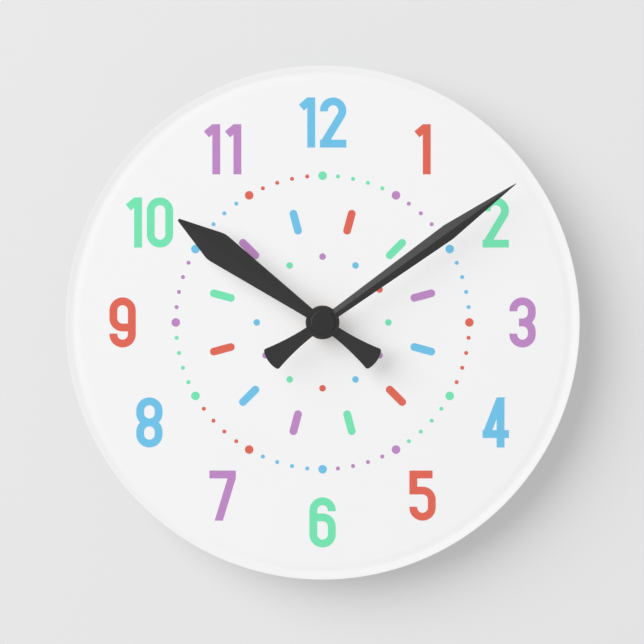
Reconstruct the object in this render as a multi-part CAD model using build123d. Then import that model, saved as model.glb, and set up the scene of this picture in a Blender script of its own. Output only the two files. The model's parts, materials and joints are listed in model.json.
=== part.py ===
"""Round acrylic wall clock on a quartz movement, at real size in millimetres.

The clock hangs on a wall. The dial faces -Y, +X is to the right of someone reading
the time, +Z is up, and the origin is where the hands' axis meets the wall.
Every piece is stacked along that axis, so its place in depth is given as a height
above the wall: 0 is the wall, and heights grow towards the reader.
"""

from build123d import *
from math import cos, hypot, radians, sin, sqrt, tan
import os

os.makedirs("parts", exist_ok=True)

# ---------------------------------------------------------------- driving dimensions
# Dial
dial_diameter = 203.2
dial_thickness = 5.0
dial_edge_width = 3.6  # the polished rounding, measured in over the front face
dial_edge_drop = 3.0  # the same rounding, measured down the side
dial_back_fillet = 0.5
print_thickness = 0.1
print_margin = 1.6  # clear acrylic left around the printed layer

# Cell and its contacts, which set the width and the depth of the case
cell_diameter = 14.5
cell_length = 49.5
cell_cap_diameter = 5.5
cell_cap_length = 1.0
cell_shoulder_fillet = 0.6
cell_cap_fillet = 0.4
cell_gap = 0.15  # between the cell and the floor and sides of its bay
contact_sheet = 0.3
contact_width = 6.0
contact_dimple = 0.4
contact_dimple_radius = 1.6
contact_dimple_slope = 45.0
contact_bow = 1.5  # how far the leaf at the flat end stands off its wall
contact_leaf_length = 11.0
contact_air = 0.3  # left between the cell and each contact
tongue_width = 3.0
tongue_end_gap = 2.0  # from the end of a tongue to the end of the board

# Case
case_wall = 1.2
case_corner = 3.0
case_front_fillet = 0.8
cover_thickness = 1.2
cover_gap = 0.1
room_below_wheels = 1.84
room_above_coil = 1.66
finger_notch_radius = 7.0

# Snap tongues of the back cover
snap_width = 5.0
snap_thickness = 1.0
snap_length = 4.3
snap_barb = 0.6
snap_below_top = 6.5
snap_from_middle = 12.0

# Shafts on the hands' axis, from the inside out
seconds_arbor_diameter = 1.0
minute_shaft_diameter = 3.2
hour_tube_diameter = 5.1
bushing_diameter = 8.0
bushing_flange_width = 1.0
bushing_flange_thickness = 0.6
running_gap = 0.08  # radial clearance of one shaft in the next
pivot_gap = 0.05  # radial clearance of a small pivot in its hole
friction_step = 0.4  # the minute shaft is turned down by this under the centre wheel

# Clamping stack in front of the case
hanger_sheet = 0.8
rubber_thickness = 1.0
rubber_diameter = 28.0
washer_thickness = 0.5
washer_diameter = 12.4
nut_thickness = 2.0
nut_across_flats = 11.0
bushing_proud = 0.3  # thread showing past the nut
clamp_gap = 0.1  # radial clearance of the clamped pieces round the bushing

# Hands
hand_sheet = 0.4
boss_diameter = 13.3
boss_overlap = 0.5  # how far a folded blade runs in over its flat boss
ridge_lift = 0.3  # the fold stands this far above the boss
hour_hand_reach = 69.7
hour_hand_widest_at = 51.4
hour_hand_width = 12.44
hour_hand_tip_width = 1.0
hour_hand_root_width = 3.0  # blade width where its edges would meet the axis
hour_hand_angle = -54.5  # clockwise from twelve, in degrees
hour_fold = 5.0  # slope of each half of the folded blade, in degrees
minute_hand_reach = 93.6
minute_hand_widest_at = 61.0
minute_hand_width = 6.54
minute_hand_tip_width = 0.3
minute_hand_root_width = 3.5
minute_hand_angle = 54.34
minute_fold = 14.0
blade_shoulder_radius = 8.0  # the round at the widest part of each blade
tail_root_width = 4.1
tail_middle_width = 6.1
tail_middle_at = 15.8
tail_end_width = 9.8
tail_corner_at = 25.0
tail_reach = 26.2
tail_corner_fillet = 1.1
collet_length = 0.65
collet_wall = 1.2
cap_diameter = 9.9
cap_height = 1.8
cap_bevel = 0.5
cap_roof = 0.65
hour_hand_rise = 0.9  # from the end of the bushing to the back of the hour hand
minute_hand_rise = 1.6  # from the front of the hour hand to the back of the minute hand
tube_proud = 0.2  # the hour tube shows this far past its hand

# Gear teeth: straight flanks, in shares of the module or of the tooth pitch
tooth_addendum = 0.9
tooth_dedendum = 1.2
tooth_root_share = 0.60
tooth_tip_share = 0.24
wheel_rim = 1.2  # left solid inside the teeth of a wheel
wheel_hub_margin = 0.8  # left solid round its pinion
wheel_arm_width = 1.2
wheel_arms = 5
small_wheel_arms = 4

# Going train, from the rotor to the centre wheel
train_module = 0.25
rotor_teeth = 10
intermediate_teeth = 50
intermediate_pinion_teeth = 10
seconds_teeth = 60
seconds_pinion_teeth = 8
third_teeth = 60
third_pinion_teeth = 8
centre_teeth = 64
wheel_thickness = 0.6
pinion_overhang = 0.2  # a pinion is this much longer than the wheel it drives
third_direction = 170.0  # from the hands' axis, degrees anticlockwise from +X
intermediate_direction = 60.0
rotor_direction = 20.0  # from the intermediate arbor
arbor_radius = 0.5
slim_arbor_radius = 0.3
pivot_radius = 0.25

# Motion work, which turns the hour hand at a twelfth of the minute hand's speed
cannon_teeth = 16
cannon_root_margin = 0.1  # the teeth of the cannon pinion end this far outside the minute shaft
minute_wheel_teeth = 48
minute_pinion_teeth = 10
hour_teeth = 40
knob_pinion_teeth = 16
motion_wheel_thickness = 0.8
minute_wheel_direction = -20.0  # from the hands' axis
knob_direction = 10.0  # from the minute wheel's post
post_radius = 0.6
post_foot_radius = 1.2
clutch_spring_radius = 4.0
clutch_spring_sheet = 0.15
clutch_arm_width = 1.6
clutch_arms = 3

# Space between one layer of the train and the next
layer_gap = 0.3  # the least, between layers that turn past each other
wide_gap = 0.5
stack_gap = 0.7

# Plates that carry the train
plate_thickness = 1.0
plate_edge_gap = 0.3
plate_pillar_radius = 2.0
plate_pillar_inset = 3.8
plate_pin_radius = 1.0
bridge_pillar_radius = 1.7
bridge_pin_radius = 0.8
right_pillar_gap = 1.8  # from the tips of the centre wheel to the first bridge pillar
right_pillar_direction = 12.0
upper_pillar_gap = 2.9  # from the tips of the third wheel to the second
upper_pillar_direction = 113.0
lower_pillar_gap = 3.6  # from the tips of the third wheel to the third
lower_pillar_direction = 219.0
bridge_margin = 2.2
pin_proud = 0.4

# Motor
magnet_radius = 3.0
magnet_thickness = 1.8
rotor_air = 0.4
stator_thickness = 0.8
stator_bar_width = 3.6
stator_ring_width = 1.8
stator_notch_radius = 0.5
stator_notch_direction = 45.0
stator_leg_width = 4.0
stator_span = 21.6
motor_side_room = 4.5  # the least, from the stator to the case's side wall, where a pillar stands
motor_post_inset = 0.2  # a post is this much narrower than the leg it holds
coil_above_rotor = 11.4
coil_radius = 3.4
coil_flange_radius = 3.6
coil_tube_radius = 1.8
coil_flange_thickness = 0.6
coil_gap = 0.3
core_width = 3.0
core_gap = 0.05

# Circuit board
board_thickness = 1.0
board_edge_gap = 0.2
board_arm_width = 9.1
board_below_snap = 1.8  # from the side snap down to the top of the board
board_step = 2.0  # the arm meets the wide part this far above the hands' axis
board_right = -6.0
crystal_radius = 1.0
crystal_length = 6.0
chip_radius = 2.5
chip_height = 0.8
board_room = 0.2  # between the parts on the board and the cover

# Setting knob
knob_radius = 5.0
knob_serrations = 30
knob_serration_depth = 0.3
knob_recess_gap = 1.0
knob_recess_depth = 3.0
knob_face_below = 0.3  # the knob's face stays this far inside the back
knob_floor_gap = 0.2
knob_shaft_radius = 1.2
knob_socket_wall = 0.9

# Moulded marks on the back
panel_margin = 3.5  # from the inner walls of the case to the shallow panel in the cover
panel_corner = 2.0
panel_depth = 0.3
pin_mark_radius = 1.5  # where the mould's pins pushed the cover out
pin_mark_depth = 0.15
pin_mark_inset = 4.0

# Wall hanger
hanger_width = 14.0
hanger_ring_radius = 10.0
hanger_bend = 1.2
nail_hole_radius = 3.0
nail_hole_above_bend = 9.0
hanger_tab_margin = 5.0  # steel left beyond the nail hole


# ---------------------------------------------------------------- places across the dial
def polar(distance, direction, start=(0.0, 0.0)):
    """The point at a distance and a direction, in degrees from +X, from start."""
    turn = radians(direction)
    return (start[0] + distance * cos(turn), start[1] + distance * sin(turn))


def centre_distance(module, teeth_a, teeth_b):
    return module * (teeth_a + teeth_b) / 2


def shared_module(distance, teeth_a, teeth_b):
    """The module that lets two gears mesh at a distance that is already fixed."""
    return 2 * distance / (teeth_a + teeth_b)


def tip_radius(teeth, module):
    return module * (teeth / 2 + tooth_addendum)


def root_radius(teeth, module):
    return module * (teeth / 2 - tooth_dedendum)


def meshed(turn_a, teeth_a, direction, teeth_b):
    """The turn, in degrees, that gear B needs so that its gap meets gear A's tooth.

    direction is where B lies as seen from A.
    """
    step_a, step_b = 360 / teeth_a, 360 / teeth_b
    return direction + 180 - step_b * ((turn_a - direction) / step_a + 0.5)


axis = (0.0, 0.0)

third_distance = centre_distance(train_module, third_pinion_teeth, centre_teeth)
third_at = polar(third_distance, third_direction)
third_module = shared_module(third_distance, third_teeth, seconds_pinion_teeth)
intermediate_distance = centre_distance(train_module, intermediate_pinion_teeth, seconds_teeth)
intermediate_at = polar(intermediate_distance, intermediate_direction)
rotor_distance = centre_distance(train_module, rotor_teeth, intermediate_teeth)
rotor_at = polar(rotor_distance, rotor_direction, intermediate_at)

cannon_root = minute_shaft_diameter / 2 + cannon_root_margin
motion_module = cannon_root / (cannon_teeth / 2 - tooth_dedendum)
minute_wheel_distance = centre_distance(motion_module, cannon_teeth, minute_wheel_teeth)
minute_wheel_at = polar(minute_wheel_distance, minute_wheel_direction)
hour_module = shared_module(minute_wheel_distance, minute_pinion_teeth, hour_teeth)
knob_distance = centre_distance(motion_module, minute_wheel_teeth, knob_pinion_teeth)
knob_recess_radius = knob_radius + knob_recess_gap
knob_at = polar(knob_distance, knob_direction, minute_wheel_at)

third_turn = meshed(0, seconds_pinion_teeth, third_direction, third_teeth)
centre_turn = meshed(0, third_pinion_teeth, third_direction + 180, centre_teeth)
intermediate_turn = meshed(0, seconds_teeth, intermediate_direction, intermediate_pinion_teeth)
rotor_turn = meshed(0, intermediate_teeth, rotor_direction, rotor_teeth)
minute_wheel_turn = meshed(0, cannon_teeth, minute_wheel_direction, minute_wheel_teeth)
hour_turn = meshed(0, minute_pinion_teeth, minute_wheel_direction + 180, hour_teeth)
knob_turn = meshed(minute_wheel_turn, minute_wheel_teeth, knob_direction, knob_pinion_teeth)

centre_reach = tip_radius(centre_teeth, train_module)
third_reach = tip_radius(third_teeth, third_module)
minute_wheel_reach = tip_radius(minute_wheel_teeth, motion_module)
coil_z = rotor_at[1] + coil_above_rotor

# The case closes round the cell and the motor from side to side, round the cell and the
# train from front to back, and round both from top to bottom.
bay_length = cell_cap_length + cell_length + 2 * contact_air + contact_dimple + contact_bow
bay_length += 2 * contact_sheet
bay_width = cell_diameter + 2 * cell_gap
inner_right = max(bay_length / 2, rotor_at[0] + stator_span / 2 + motor_side_room)
inner_top = coil_z + coil_flange_radius + room_above_coil
train_bottom = min(-centre_reach, minute_wheel_at[1] - minute_wheel_reach) - room_below_wheels
bay_top = train_bottom - case_wall
bay_bottom = bay_top - bay_width
case_right = inner_right + case_wall
case_top = inner_top + case_wall
case_bottom = bay_bottom - case_wall
cell_z = (bay_bottom + bay_top) / 2
cell_left = -inner_right + contact_sheet + contact_dimple + contact_air + cell_cap_length
cell_right = cell_left + cell_length

plate_pillars = [
    (side * (inner_right - plate_pillar_inset), level)
    for side in (-1, 1)
    for level in (train_bottom + plate_pillar_inset, inner_top - plate_pillar_inset)
]
bridge_pillars = [
    polar(centre_reach + right_pillar_gap + bridge_pillar_radius, right_pillar_direction),
    polar(third_reach + upper_pillar_gap + bridge_pillar_radius, upper_pillar_direction, third_at),
    polar(third_reach + lower_pillar_gap + bridge_pillar_radius, lower_pillar_direction, third_at),
]
# The hanger's bend goes round the rounded front edge of the case.
hanger_case_gap = hanger_bend - case_front_fillet
motor_pins = [
    (rotor_at[0] + side * (stator_span - stator_leg_width) / 2, coil_z) for side in (-1, 1)
]
nail_z = case_top + hanger_case_gap + hanger_sheet + nail_hole_above_bend
side_snap_z = inner_top - snap_below_top
board_top = side_snap_z - snap_width / 2 - board_below_snap

# ---------------------------------------------------------------- heights above the wall
train_layers = 2 * motion_wheel_thickness + 4 * wheel_thickness + 2 * plate_thickness
train_spaces = 6 * layer_gap + 2 * wide_gap + 2 * stack_gap
cup_floor = knob_recess_depth + plate_thickness
room_for_board = cover_thickness + board_room + 2 * crystal_radius + board_thickness
train_depth = max(room_for_board, cup_floor + layer_gap) + train_layers + train_spaces
floor_inner = max(bay_width, train_depth)
case_depth = floor_inner + case_wall
flange_top = floor_inner + bushing_flange_thickness

hanger_top = case_depth + hanger_sheet
rubber_top = hanger_top + rubber_thickness
print_top = rubber_top + print_thickness
dial_top = print_top + dial_thickness
washer_top = dial_top + washer_thickness
nut_top = washer_top + nut_thickness
bushing_end = nut_top + bushing_proud
hour_hand_back = bushing_end + hour_hand_rise
hour_hand_front = hour_hand_back + hand_sheet
hour_tube_end = hour_hand_front + tube_proud
minute_hand_back = hour_hand_front + minute_hand_rise
minute_hand_front = minute_hand_back + hand_sheet
cap_top = minute_hand_front + cap_height
cap_inner = cap_top - cap_roof
minute_shaft_end = cap_inner - running_gap
seconds_arbor_end = minute_shaft_end - 2 * running_gap

hour_wheel_top = floor_inner - layer_gap
hour_wheel_low = hour_wheel_top - motion_wheel_thickness
minute_wheel_top = hour_wheel_low - wide_gap
minute_wheel_low = minute_wheel_top - motion_wheel_thickness
plate_top = minute_wheel_low - 2 * layer_gap
plate_low = plate_top - plate_thickness
centre_top = plate_low - layer_gap
centre_low = centre_top - wheel_thickness
third_top = centre_low - stack_gap
third_low = third_top - wheel_thickness
seconds_top = third_low - stack_gap
seconds_low = seconds_top - wheel_thickness
intermediate_top = seconds_low - wide_gap
intermediate_low = intermediate_top - wheel_thickness
bridge_top = intermediate_low - 2 * layer_gap
bridge_low = bridge_top - plate_thickness
board_low = bridge_low - board_thickness
pivot_low = bridge_low + pivot_gap
pivot_top = plate_top - pivot_gap

stator_top = centre_low - wide_gap
stator_low = stator_top - stator_thickness
core_low = stator_low - stator_thickness
coil_height = (stator_low + core_low) / 2
magnet_low = (stator_top + stator_low - magnet_thickness) / 2
magnet_top = magnet_low + magnet_thickness
cell_height = floor_inner - cell_gap - cell_diameter / 2

# ---------------------------------------------------------------- radii on the hands' axis
seconds_radius = seconds_arbor_diameter / 2
minute_bore = seconds_radius + running_gap
minute_radius = minute_shaft_diameter / 2
friction_radius = minute_radius - friction_step
hour_bore = minute_radius + running_gap
hour_radius = hour_tube_diameter / 2
bushing_bore = hour_radius + running_gap
bushing_radius = bushing_diameter / 2
bushing_flange_radius = bushing_radius + bushing_flange_width
clamp_bore = bushing_radius + clamp_gap
dial_bore = clamp_bore + clamp_gap
boss_radius = boss_diameter / 2


# ---------------------------------------------------------------- shape helpers
def slab(outline, low, high):
    """An outline drawn on the dial's plane, extruded between two heights."""
    return extrude(Plane.XZ.offset(low) * outline, high - low)


def turned(profile, place=axis):
    """A profile of radius against height, turned about an axis square to the wall."""
    half_section = Plane(origin=(0, 0, 0), x_dir=(1, 0, 0), z_dir=(0, 0, -1))
    return Pos(place[0], 0, place[1]) * revolve(half_section * profile, Axis.Y)


def along_x(outline, left, right):
    """An outline of Z against height, extruded from left to right."""
    side = Plane(origin=(left, 0, 0), x_dir=(0, 0, 1), z_dir=(1, 0, 0))
    return extrude(side * outline, right - left)


def at(place, outline):
    return Pos(place[0], place[1]) * outline


def disc(radius, low, high, place=axis):
    return slab(at(place, Circle(radius)), low, high)


def ring(outer, inner, low, high, place=axis):
    return slab(at(place, Circle(outer) - Circle(inner)), low, high)


def rectangle(left, right, bottom, top):
    return at(((left + right) / 2, (bottom + top) / 2), Rectangle(right - left, top - bottom))


def block(left, right, bottom, top, low, high):
    """A box given by its sides across the dial and its two heights."""
    return slab(rectangle(left, right, bottom, top), low, high)


def is_at(vertex, *places):
    """True if a corner of a flat sketch is at one of these places."""
    return any(hypot(vertex.X - x, vertex.Y - y) < 1e-6 for x, y in places)


def rounded(sketch, radius, *places):
    """The sketch with its corners at these places rounded."""
    return fillet([corner for corner in sketch.vertices() if is_at(corner, *places)], radius)


def toothed(teeth, module, turn=0.0, place=axis):
    """The outline of a gear whose first tooth points along turn."""
    root = root_radius(teeth, module)
    tip = tip_radius(teeth, module)
    corners = (
        (root, -tooth_root_share / 2),
        (tip, -tooth_tip_share / 2),
        (tip, tooth_tip_share / 2),
        (root, tooth_root_share / 2),
    )
    step = 360 / teeth
    points = []
    for tooth in range(teeth):
        for radius, share in corners:
            points.append(polar(radius, turn + (tooth + share) * step, place))
    return make_face(Polyline(*points, close=True))


def gear(teeth, module, low, high, turn=0.0, place=axis):
    return slab(toothed(teeth, module, turn, place), low, high)


def wheel(teeth, module, hub, arms, low, high, turn=0.0, place=axis):
    """A gear with windows between its hub and its rim, and arms between the windows."""
    rim = root_radius(teeth, module) - wheel_rim
    opening = Circle(rim) - Circle(hub)
    for number in range(arms):
        arm = Pos(rim / 2, 0) * Rectangle(rim, wheel_arm_width)
        opening -= Rot(0, 0, number * 360 / arms) * arm
    return slab(toothed(teeth, module, turn, place) - at(place, opening), low, high)


# ---------------------------------------------------------------- dial and clamping stack
def make_dial_disc():
    """The clear acrylic disc. Its front edge is polished to an elliptical rounding."""
    rim = dial_diameter / 2
    shoulder = dial_top - dial_edge_drop
    rounding = EllipticalCenterArc(
        (rim - dial_edge_width, shoulder), dial_edge_width, dial_edge_drop, arc_size=90
    )
    sides = Polyline(
        rounding @ 1,
        (dial_bore, dial_top),
        (dial_bore, print_top),
        (rim, print_top),
        rounding @ 0,
    )
    profile = make_face(rounding + sides)
    return turned(rounded(profile, dial_back_fillet, (rim, print_top)))


def make_dial_print():
    return ring(dial_diameter / 2 - print_margin, dial_bore, rubber_top, print_top)


def make_rubber_washer():
    return ring(rubber_diameter / 2, clamp_bore, hanger_top, rubber_top)


def make_brass_washer():
    return ring(washer_diameter / 2, clamp_bore, dial_top, washer_top)


def make_hex_nut():
    """The corners of both faces are turned to a bevel."""
    corner_radius = nut_across_flats / sqrt(3)
    flat_radius = nut_across_flats / 2
    drop = (corner_radius - flat_radius) / 2
    bevelled = make_face(
        Polyline(
            (0, washer_top),
            (flat_radius, washer_top),
            (corner_radius, washer_top + drop),
            (corner_radius, nut_top - drop),
            (flat_radius, nut_top),
            (0, nut_top),
            close=True,
        )
    )
    hexagon = RegularPolygon(corner_radius, 6) - Circle(bushing_radius)
    return slab(hexagon, washer_top, nut_top) & turned(bevelled)


def make_threaded_bushing():
    tube = ring(bushing_radius, bushing_bore, floor_inner, bushing_end)
    flange = ring(bushing_flange_radius, bushing_bore, floor_inner, flange_top)
    return tube + flange


def make_wall_hanger():
    """A steel strip bent twice: flat under the dial, back over the case, up at the wall.

    The bent strip starts past the ring, which the strip's outline then cuts to shape.
    """
    back = case_top + hanger_case_gap
    bottom = -2 * hanger_ring_radius
    top = nail_z + nail_hole_radius + hanger_tab_margin
    strip = make_face(
        Polyline(
            (bottom, case_depth),
            (back, case_depth),
            (back, 0),
            (top, 0),
            (top, hanger_sheet),
            (back + hanger_sheet, hanger_sheet),
            (back + hanger_sheet, hanger_top),
            (bottom, hanger_top),
            close=True,
        )
    )
    inner_corners = ((back, case_depth), (back + hanger_sheet, hanger_sheet))
    outer_corners = ((back, 0), (back + hanger_sheet, hanger_top))
    strip = rounded(strip, hanger_bend, *inner_corners)
    strip = rounded(strip, hanger_bend + hanger_sheet, *outer_corners)
    round_end = top - hanger_width / 2
    outline = (
        Circle(hanger_ring_radius)
        + rectangle(-hanger_width / 2, hanger_width / 2, 0, round_end)
        + at((0, round_end), Circle(hanger_width / 2))
        - Circle(clamp_bore)
        - at((0, nail_z), Circle(nail_hole_radius))
    )
    sheet = along_x(strip, -hanger_ring_radius, hanger_ring_radius)
    return sheet & slab(outline, 0, hanger_top)


# ---------------------------------------------------------------- hands
def make_hand(reach, widest_at, width, tip_width, root_width, fold, angle, back, bore):
    """A stamped hand: a lance blade folded along its middle, a flat boss and a flared tail.

    It is made pointing at twelve, and then turned clockwise to its angle.
    """
    front = back + hand_sheet
    half = width / 2
    blade = make_face(
        Polyline(
            (-root_width / 2, 0),
            (-half, widest_at),
            (-tip_width / 2, reach),
            (tip_width / 2, reach),
            (half, widest_at),
            (root_width / 2, 0),
            close=True,
        )
    )
    blade = rounded(blade, blade_shoulder_radius, (-half, widest_at), (half, widest_at))
    ridge = front + ridge_lift
    drop = tan(radians(fold)) * width
    folded_sheet = make_face(
        Polyline(
            (-width, ridge - drop),
            (0, ridge),
            (width, ridge - drop),
            (width, ridge - drop - hand_sheet),
            (0, ridge - hand_sheet),
            (-width, ridge - drop - hand_sheet),
            close=True,
        )
    )
    across = Plane(origin=(0, 0, reach), x_dir=(1, 0, 0), z_dir=(0, 0, -1))
    solid = extrude(across * folded_sheet, reach) & slab(blade, back - drop, ridge)
    solid -= disc(boss_radius - boss_overlap, back - drop, ridge)
    solid += slab(tail_outline(), back, front)
    solid += disc(boss_radius, back, front)
    solid -= disc(bore, back, front)
    return Rot(0, angle, 0) * solid


def tail_outline():
    """The counterpoise: concave sides that flare to a shallow curved end."""
    right = ThreePointArc(
        (tail_root_width / 2, 0),
        (tail_middle_width / 2, -tail_middle_at),
        (tail_end_width / 2, -tail_corner_at),
    )
    end = ThreePointArc(
        (tail_end_width / 2, -tail_corner_at),
        (0, -tail_reach),
        (-tail_end_width / 2, -tail_corner_at),
    )
    left = ThreePointArc(
        (-tail_end_width / 2, -tail_corner_at),
        (-tail_middle_width / 2, -tail_middle_at),
        (-tail_root_width / 2, 0),
    )
    outline = make_face(right + end + left + Line(left @ 1, right @ 0))
    return rounded(
        outline,
        tail_corner_fillet,
        (tail_end_width / 2, -tail_corner_at),
        (-tail_end_width / 2, -tail_corner_at),
    )


def make_hour_hand():
    return make_hand(
        hour_hand_reach,
        hour_hand_widest_at,
        hour_hand_width,
        hour_hand_tip_width,
        hour_hand_root_width,
        hour_fold,
        hour_hand_angle,
        hour_hand_back,
        hour_radius,
    )


def make_minute_hand():
    return make_hand(
        minute_hand_reach,
        minute_hand_widest_at,
        minute_hand_width,
        minute_hand_tip_width,
        minute_hand_root_width,
        minute_fold,
        minute_hand_angle,
        minute_hand_back,
        minute_radius,
    )


def make_hour_hand_collet():
    low = hour_hand_back - collet_length
    return ring(hour_radius + collet_wall, hour_radius, low, hour_hand_back)


def make_minute_hand_collet():
    low = minute_hand_back - collet_length
    return ring(minute_radius + collet_wall, minute_radius, low, minute_hand_back)


def make_centre_cap():
    """The press-on cap that closes the end of the minute shaft."""
    rim = cap_diameter / 2
    profile = make_face(
        Polyline(
            (minute_radius, minute_hand_front),
            (rim, minute_hand_front),
            (rim, cap_top - cap_bevel),
            (rim - cap_bevel, cap_top),
            (0, cap_top),
            (0, cap_inner),
            (minute_radius, cap_inner),
            close=True,
        )
    )
    return turned(profile)


# ---------------------------------------------------------------- case
def train_outline(grow):
    """The room for the train, grown on all sides: square at the partition, round at the top."""
    right, top = inner_right + grow, inner_top + grow
    outline = rectangle(-right, right, train_bottom - grow, top)
    return rounded(outline, case_corner - case_wall + grow, (-right, top), (right, top))


def snap_places():
    """Each snap as its place, its direction outwards and the width it runs along."""
    return (
        (-inner_right, side_snap_z, -1, 0),
        (inner_right, side_snap_z, 1, 0),
        (-snap_from_middle, inner_top, 0, 1),
        (snap_from_middle, inner_top, 0, 1),
    )


def snap_block(place, inward, outward, width, low, high):
    """A block that stands against an inner wall, measured inward and outward from it."""
    x, z, along_right, along_up = place
    if along_right:
        near, far = sorted((x - along_right * inward, x + along_right * outward))
        return block(near, far, z - width / 2, z + width / 2, low, high)
    return block(x - width / 2, x + width / 2, z - inward, z + along_up * outward, low, high)


def make_front_housing():
    """The tray that holds the train at the top and the cell along the bottom."""
    outline = RectangleRounded(2 * case_right, case_top - case_bottom, case_corner)
    solid = slab(at((0, (case_top + case_bottom) / 2), outline), 0, case_depth)
    front_edges = solid.faces().sort_by(Axis.Y)[0].edges()
    solid = fillet(front_edges, case_front_fillet)
    solid -= slab(train_outline(0), 0, floor_inner)
    solid -= slab(train_outline(case_wall / 2), 0, cover_thickness)
    solid -= block(-inner_right, inner_right, bay_bottom, bay_top, 0, floor_inner)
    notch = Plane.XY.offset(case_bottom) * Circle(finger_notch_radius)
    solid -= extrude(notch, case_wall)
    solid -= disc(bushing_radius, floor_inner, case_depth)
    solid -= disc(bushing_flange_radius, floor_inner, flange_top)
    for side in (-1, 1):
        solid -= tongue_slot(side)
    for place in snap_places():
        low = cover_thickness + snap_length / 2
        solid -= snap_block(place, 0, case_wall, snap_width + 2 * layer_gap, low, low + snap_length / 2)
    for pillar in plate_pillars:
        solid += disc(plate_pillar_radius, plate_top, floor_inner, pillar)
        solid += disc(plate_pin_radius, plate_low - pin_proud, plate_top, pillar)
    solid += disc(post_radius, plate_low + pivot_gap, floor_inner, minute_wheel_at)
    solid += disc(post_foot_radius, hour_wheel_top, floor_inner, minute_wheel_at)
    socket = post_radius + pivot_gap
    solid += ring(socket + knob_socket_wall, socket, minute_wheel_top + layer_gap, floor_inner, knob_at)
    return solid


def tongue_slot(side):
    """The slot in the partition that lets a contact's tongue through beside the wall."""
    wall = side * inner_right
    edge = side * (inner_right - contact_sheet - pivot_gap)
    left, right = sorted((wall, edge))
    low = bridge_low - pivot_gap
    return block(left, right, bay_top, train_bottom, low, bridge_low + tongue_width + pivot_gap)


def make_back_cover():
    """The lid over the train, with the recess for the setting knob and four snap tongues.

    A shallow panel takes up most of its back, and leaves a collar round the knob.
    """
    solid = slab(train_outline(case_wall / 2 - cover_gap), 0, cover_thickness)
    right = inner_right - panel_margin
    bottom, top = train_bottom + panel_margin, inner_top - panel_margin
    panel = RectangleRounded(2 * right, top - bottom, panel_corner)
    solid -= slab(at((0, (bottom + top) / 2), panel), 0, panel_depth)
    solid += disc(knob_recess_radius + plate_thickness, 0, cup_floor, knob_at)
    solid -= disc(knob_recess_radius, 0, knob_recess_depth, knob_at)
    across, low_mark, high_mark = right - pin_mark_inset, bottom + pin_mark_inset, top - pin_mark_inset
    for mark in ((-across, low_mark), (-across, high_mark), (across, high_mark)):
        solid -= disc(pin_mark_radius, 0, panel_depth + pin_mark_depth, mark)
    solid -= disc(knob_shaft_radius + running_gap, knob_recess_depth, cup_floor, knob_at)
    for place in snap_places():
        solid += make_snap(place)
    return solid


def make_snap(place):
    """A tongue down the inner wall, with a barb that springs into the wall's window."""
    low = cover_thickness / 2
    high = cover_thickness + snap_length
    tongue = snap_block(place, snap_thickness + cover_gap, -cover_gap, snap_width, low, high)
    barb_low = high - snap_length / 2 + layer_gap
    barb = snap_block(place, cover_gap, snap_barb, snap_width, barb_low, high - layer_gap)
    return tongue + barb


def make_setting_knob():
    """The serrated knob, its shaft through the case, and the pinion it drives."""
    step = 360 / knob_serrations
    points = []
    for number in range(knob_serrations):
        points.append(polar(knob_radius, number * step, knob_at))
        points.append(polar(knob_radius - knob_serration_depth, (number + 0.5) * step, knob_at))
    grip = make_face(Polyline(*points, close=True))
    shoulder = knob_recess_depth - knob_floor_gap
    solid = slab(grip, knob_face_below, shoulder)
    solid += disc(knob_shaft_radius, shoulder, minute_wheel_low, knob_at)
    solid += gear(
        knob_pinion_teeth, motion_module, minute_wheel_low, minute_wheel_top, knob_turn, knob_at
    )
    return solid + disc(post_radius, minute_wheel_top, floor_inner - pivot_gap, knob_at)


# ---------------------------------------------------------------- cell and contacts
def make_aa_cell():
    """A round cell lying along X, with its raised cap at the left."""
    middle = (cell_z, cell_height)
    can = along_x(at(middle, Circle(cell_diameter / 2)), cell_left, cell_right)
    cap = along_x(at(middle, Circle(cell_cap_diameter / 2)), cell_left - cell_cap_length, cell_left)
    can = fillet(can.edges().filter_by(GeomType.CIRCLE), cell_shoulder_fillet)
    cap = fillet(cap.faces().sort_by(Axis.X)[0].edges(), cell_cap_fillet)
    return can + cap


def make_positive_contact():
    """A plate with a pressed dimple, and a tongue that runs up the wall to the board."""
    left = -inner_right
    right = left + contact_sheet
    half = contact_leaf_length / 2
    solid = block(left, right, cell_z - half, cell_z + half, cell_height - half, cell_height + half)
    foot = Plane(origin=(right, 0, 0), x_dir=(0, 0, 1), z_dir=(1, 0, 0))
    dimple = foot * at((cell_z, cell_height), Circle(contact_dimple_radius))
    solid += extrude(dimple, contact_dimple, taper=contact_dimple_slope)
    high = bridge_low + tongue_width
    end = board_top - tongue_end_gap
    return solid + block(left, right, cell_z + half / 2, end, bridge_low, high)


def make_negative_contact():
    """A bowed leaf at the flat end of the cell, with a strip that runs back to the board."""
    right = inner_right
    wall_side = right - contact_sheet
    half = contact_leaf_length / 2
    apex = cell_right + contact_air + contact_sheet / 2
    bow = ThreePointArc(
        (wall_side, cell_z - half), (apex, cell_z), (wall_side, cell_z + half)
    )
    low = cell_height - contact_width / 2
    solid = slab(trace(bow, contact_sheet), low, low + contact_width)
    solid += block(wall_side, right, cell_z - half - contact_sheet, bay_top, low, low + contact_width)
    high = bridge_low + tongue_width
    solid += block(wall_side, right, bay_top - tongue_width, train_bottom + contact_sheet, bridge_low, high)
    end = -inner_right + board_arm_width / 2
    return solid + block(end, right, train_bottom, train_bottom + contact_sheet, bridge_low, high)


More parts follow.
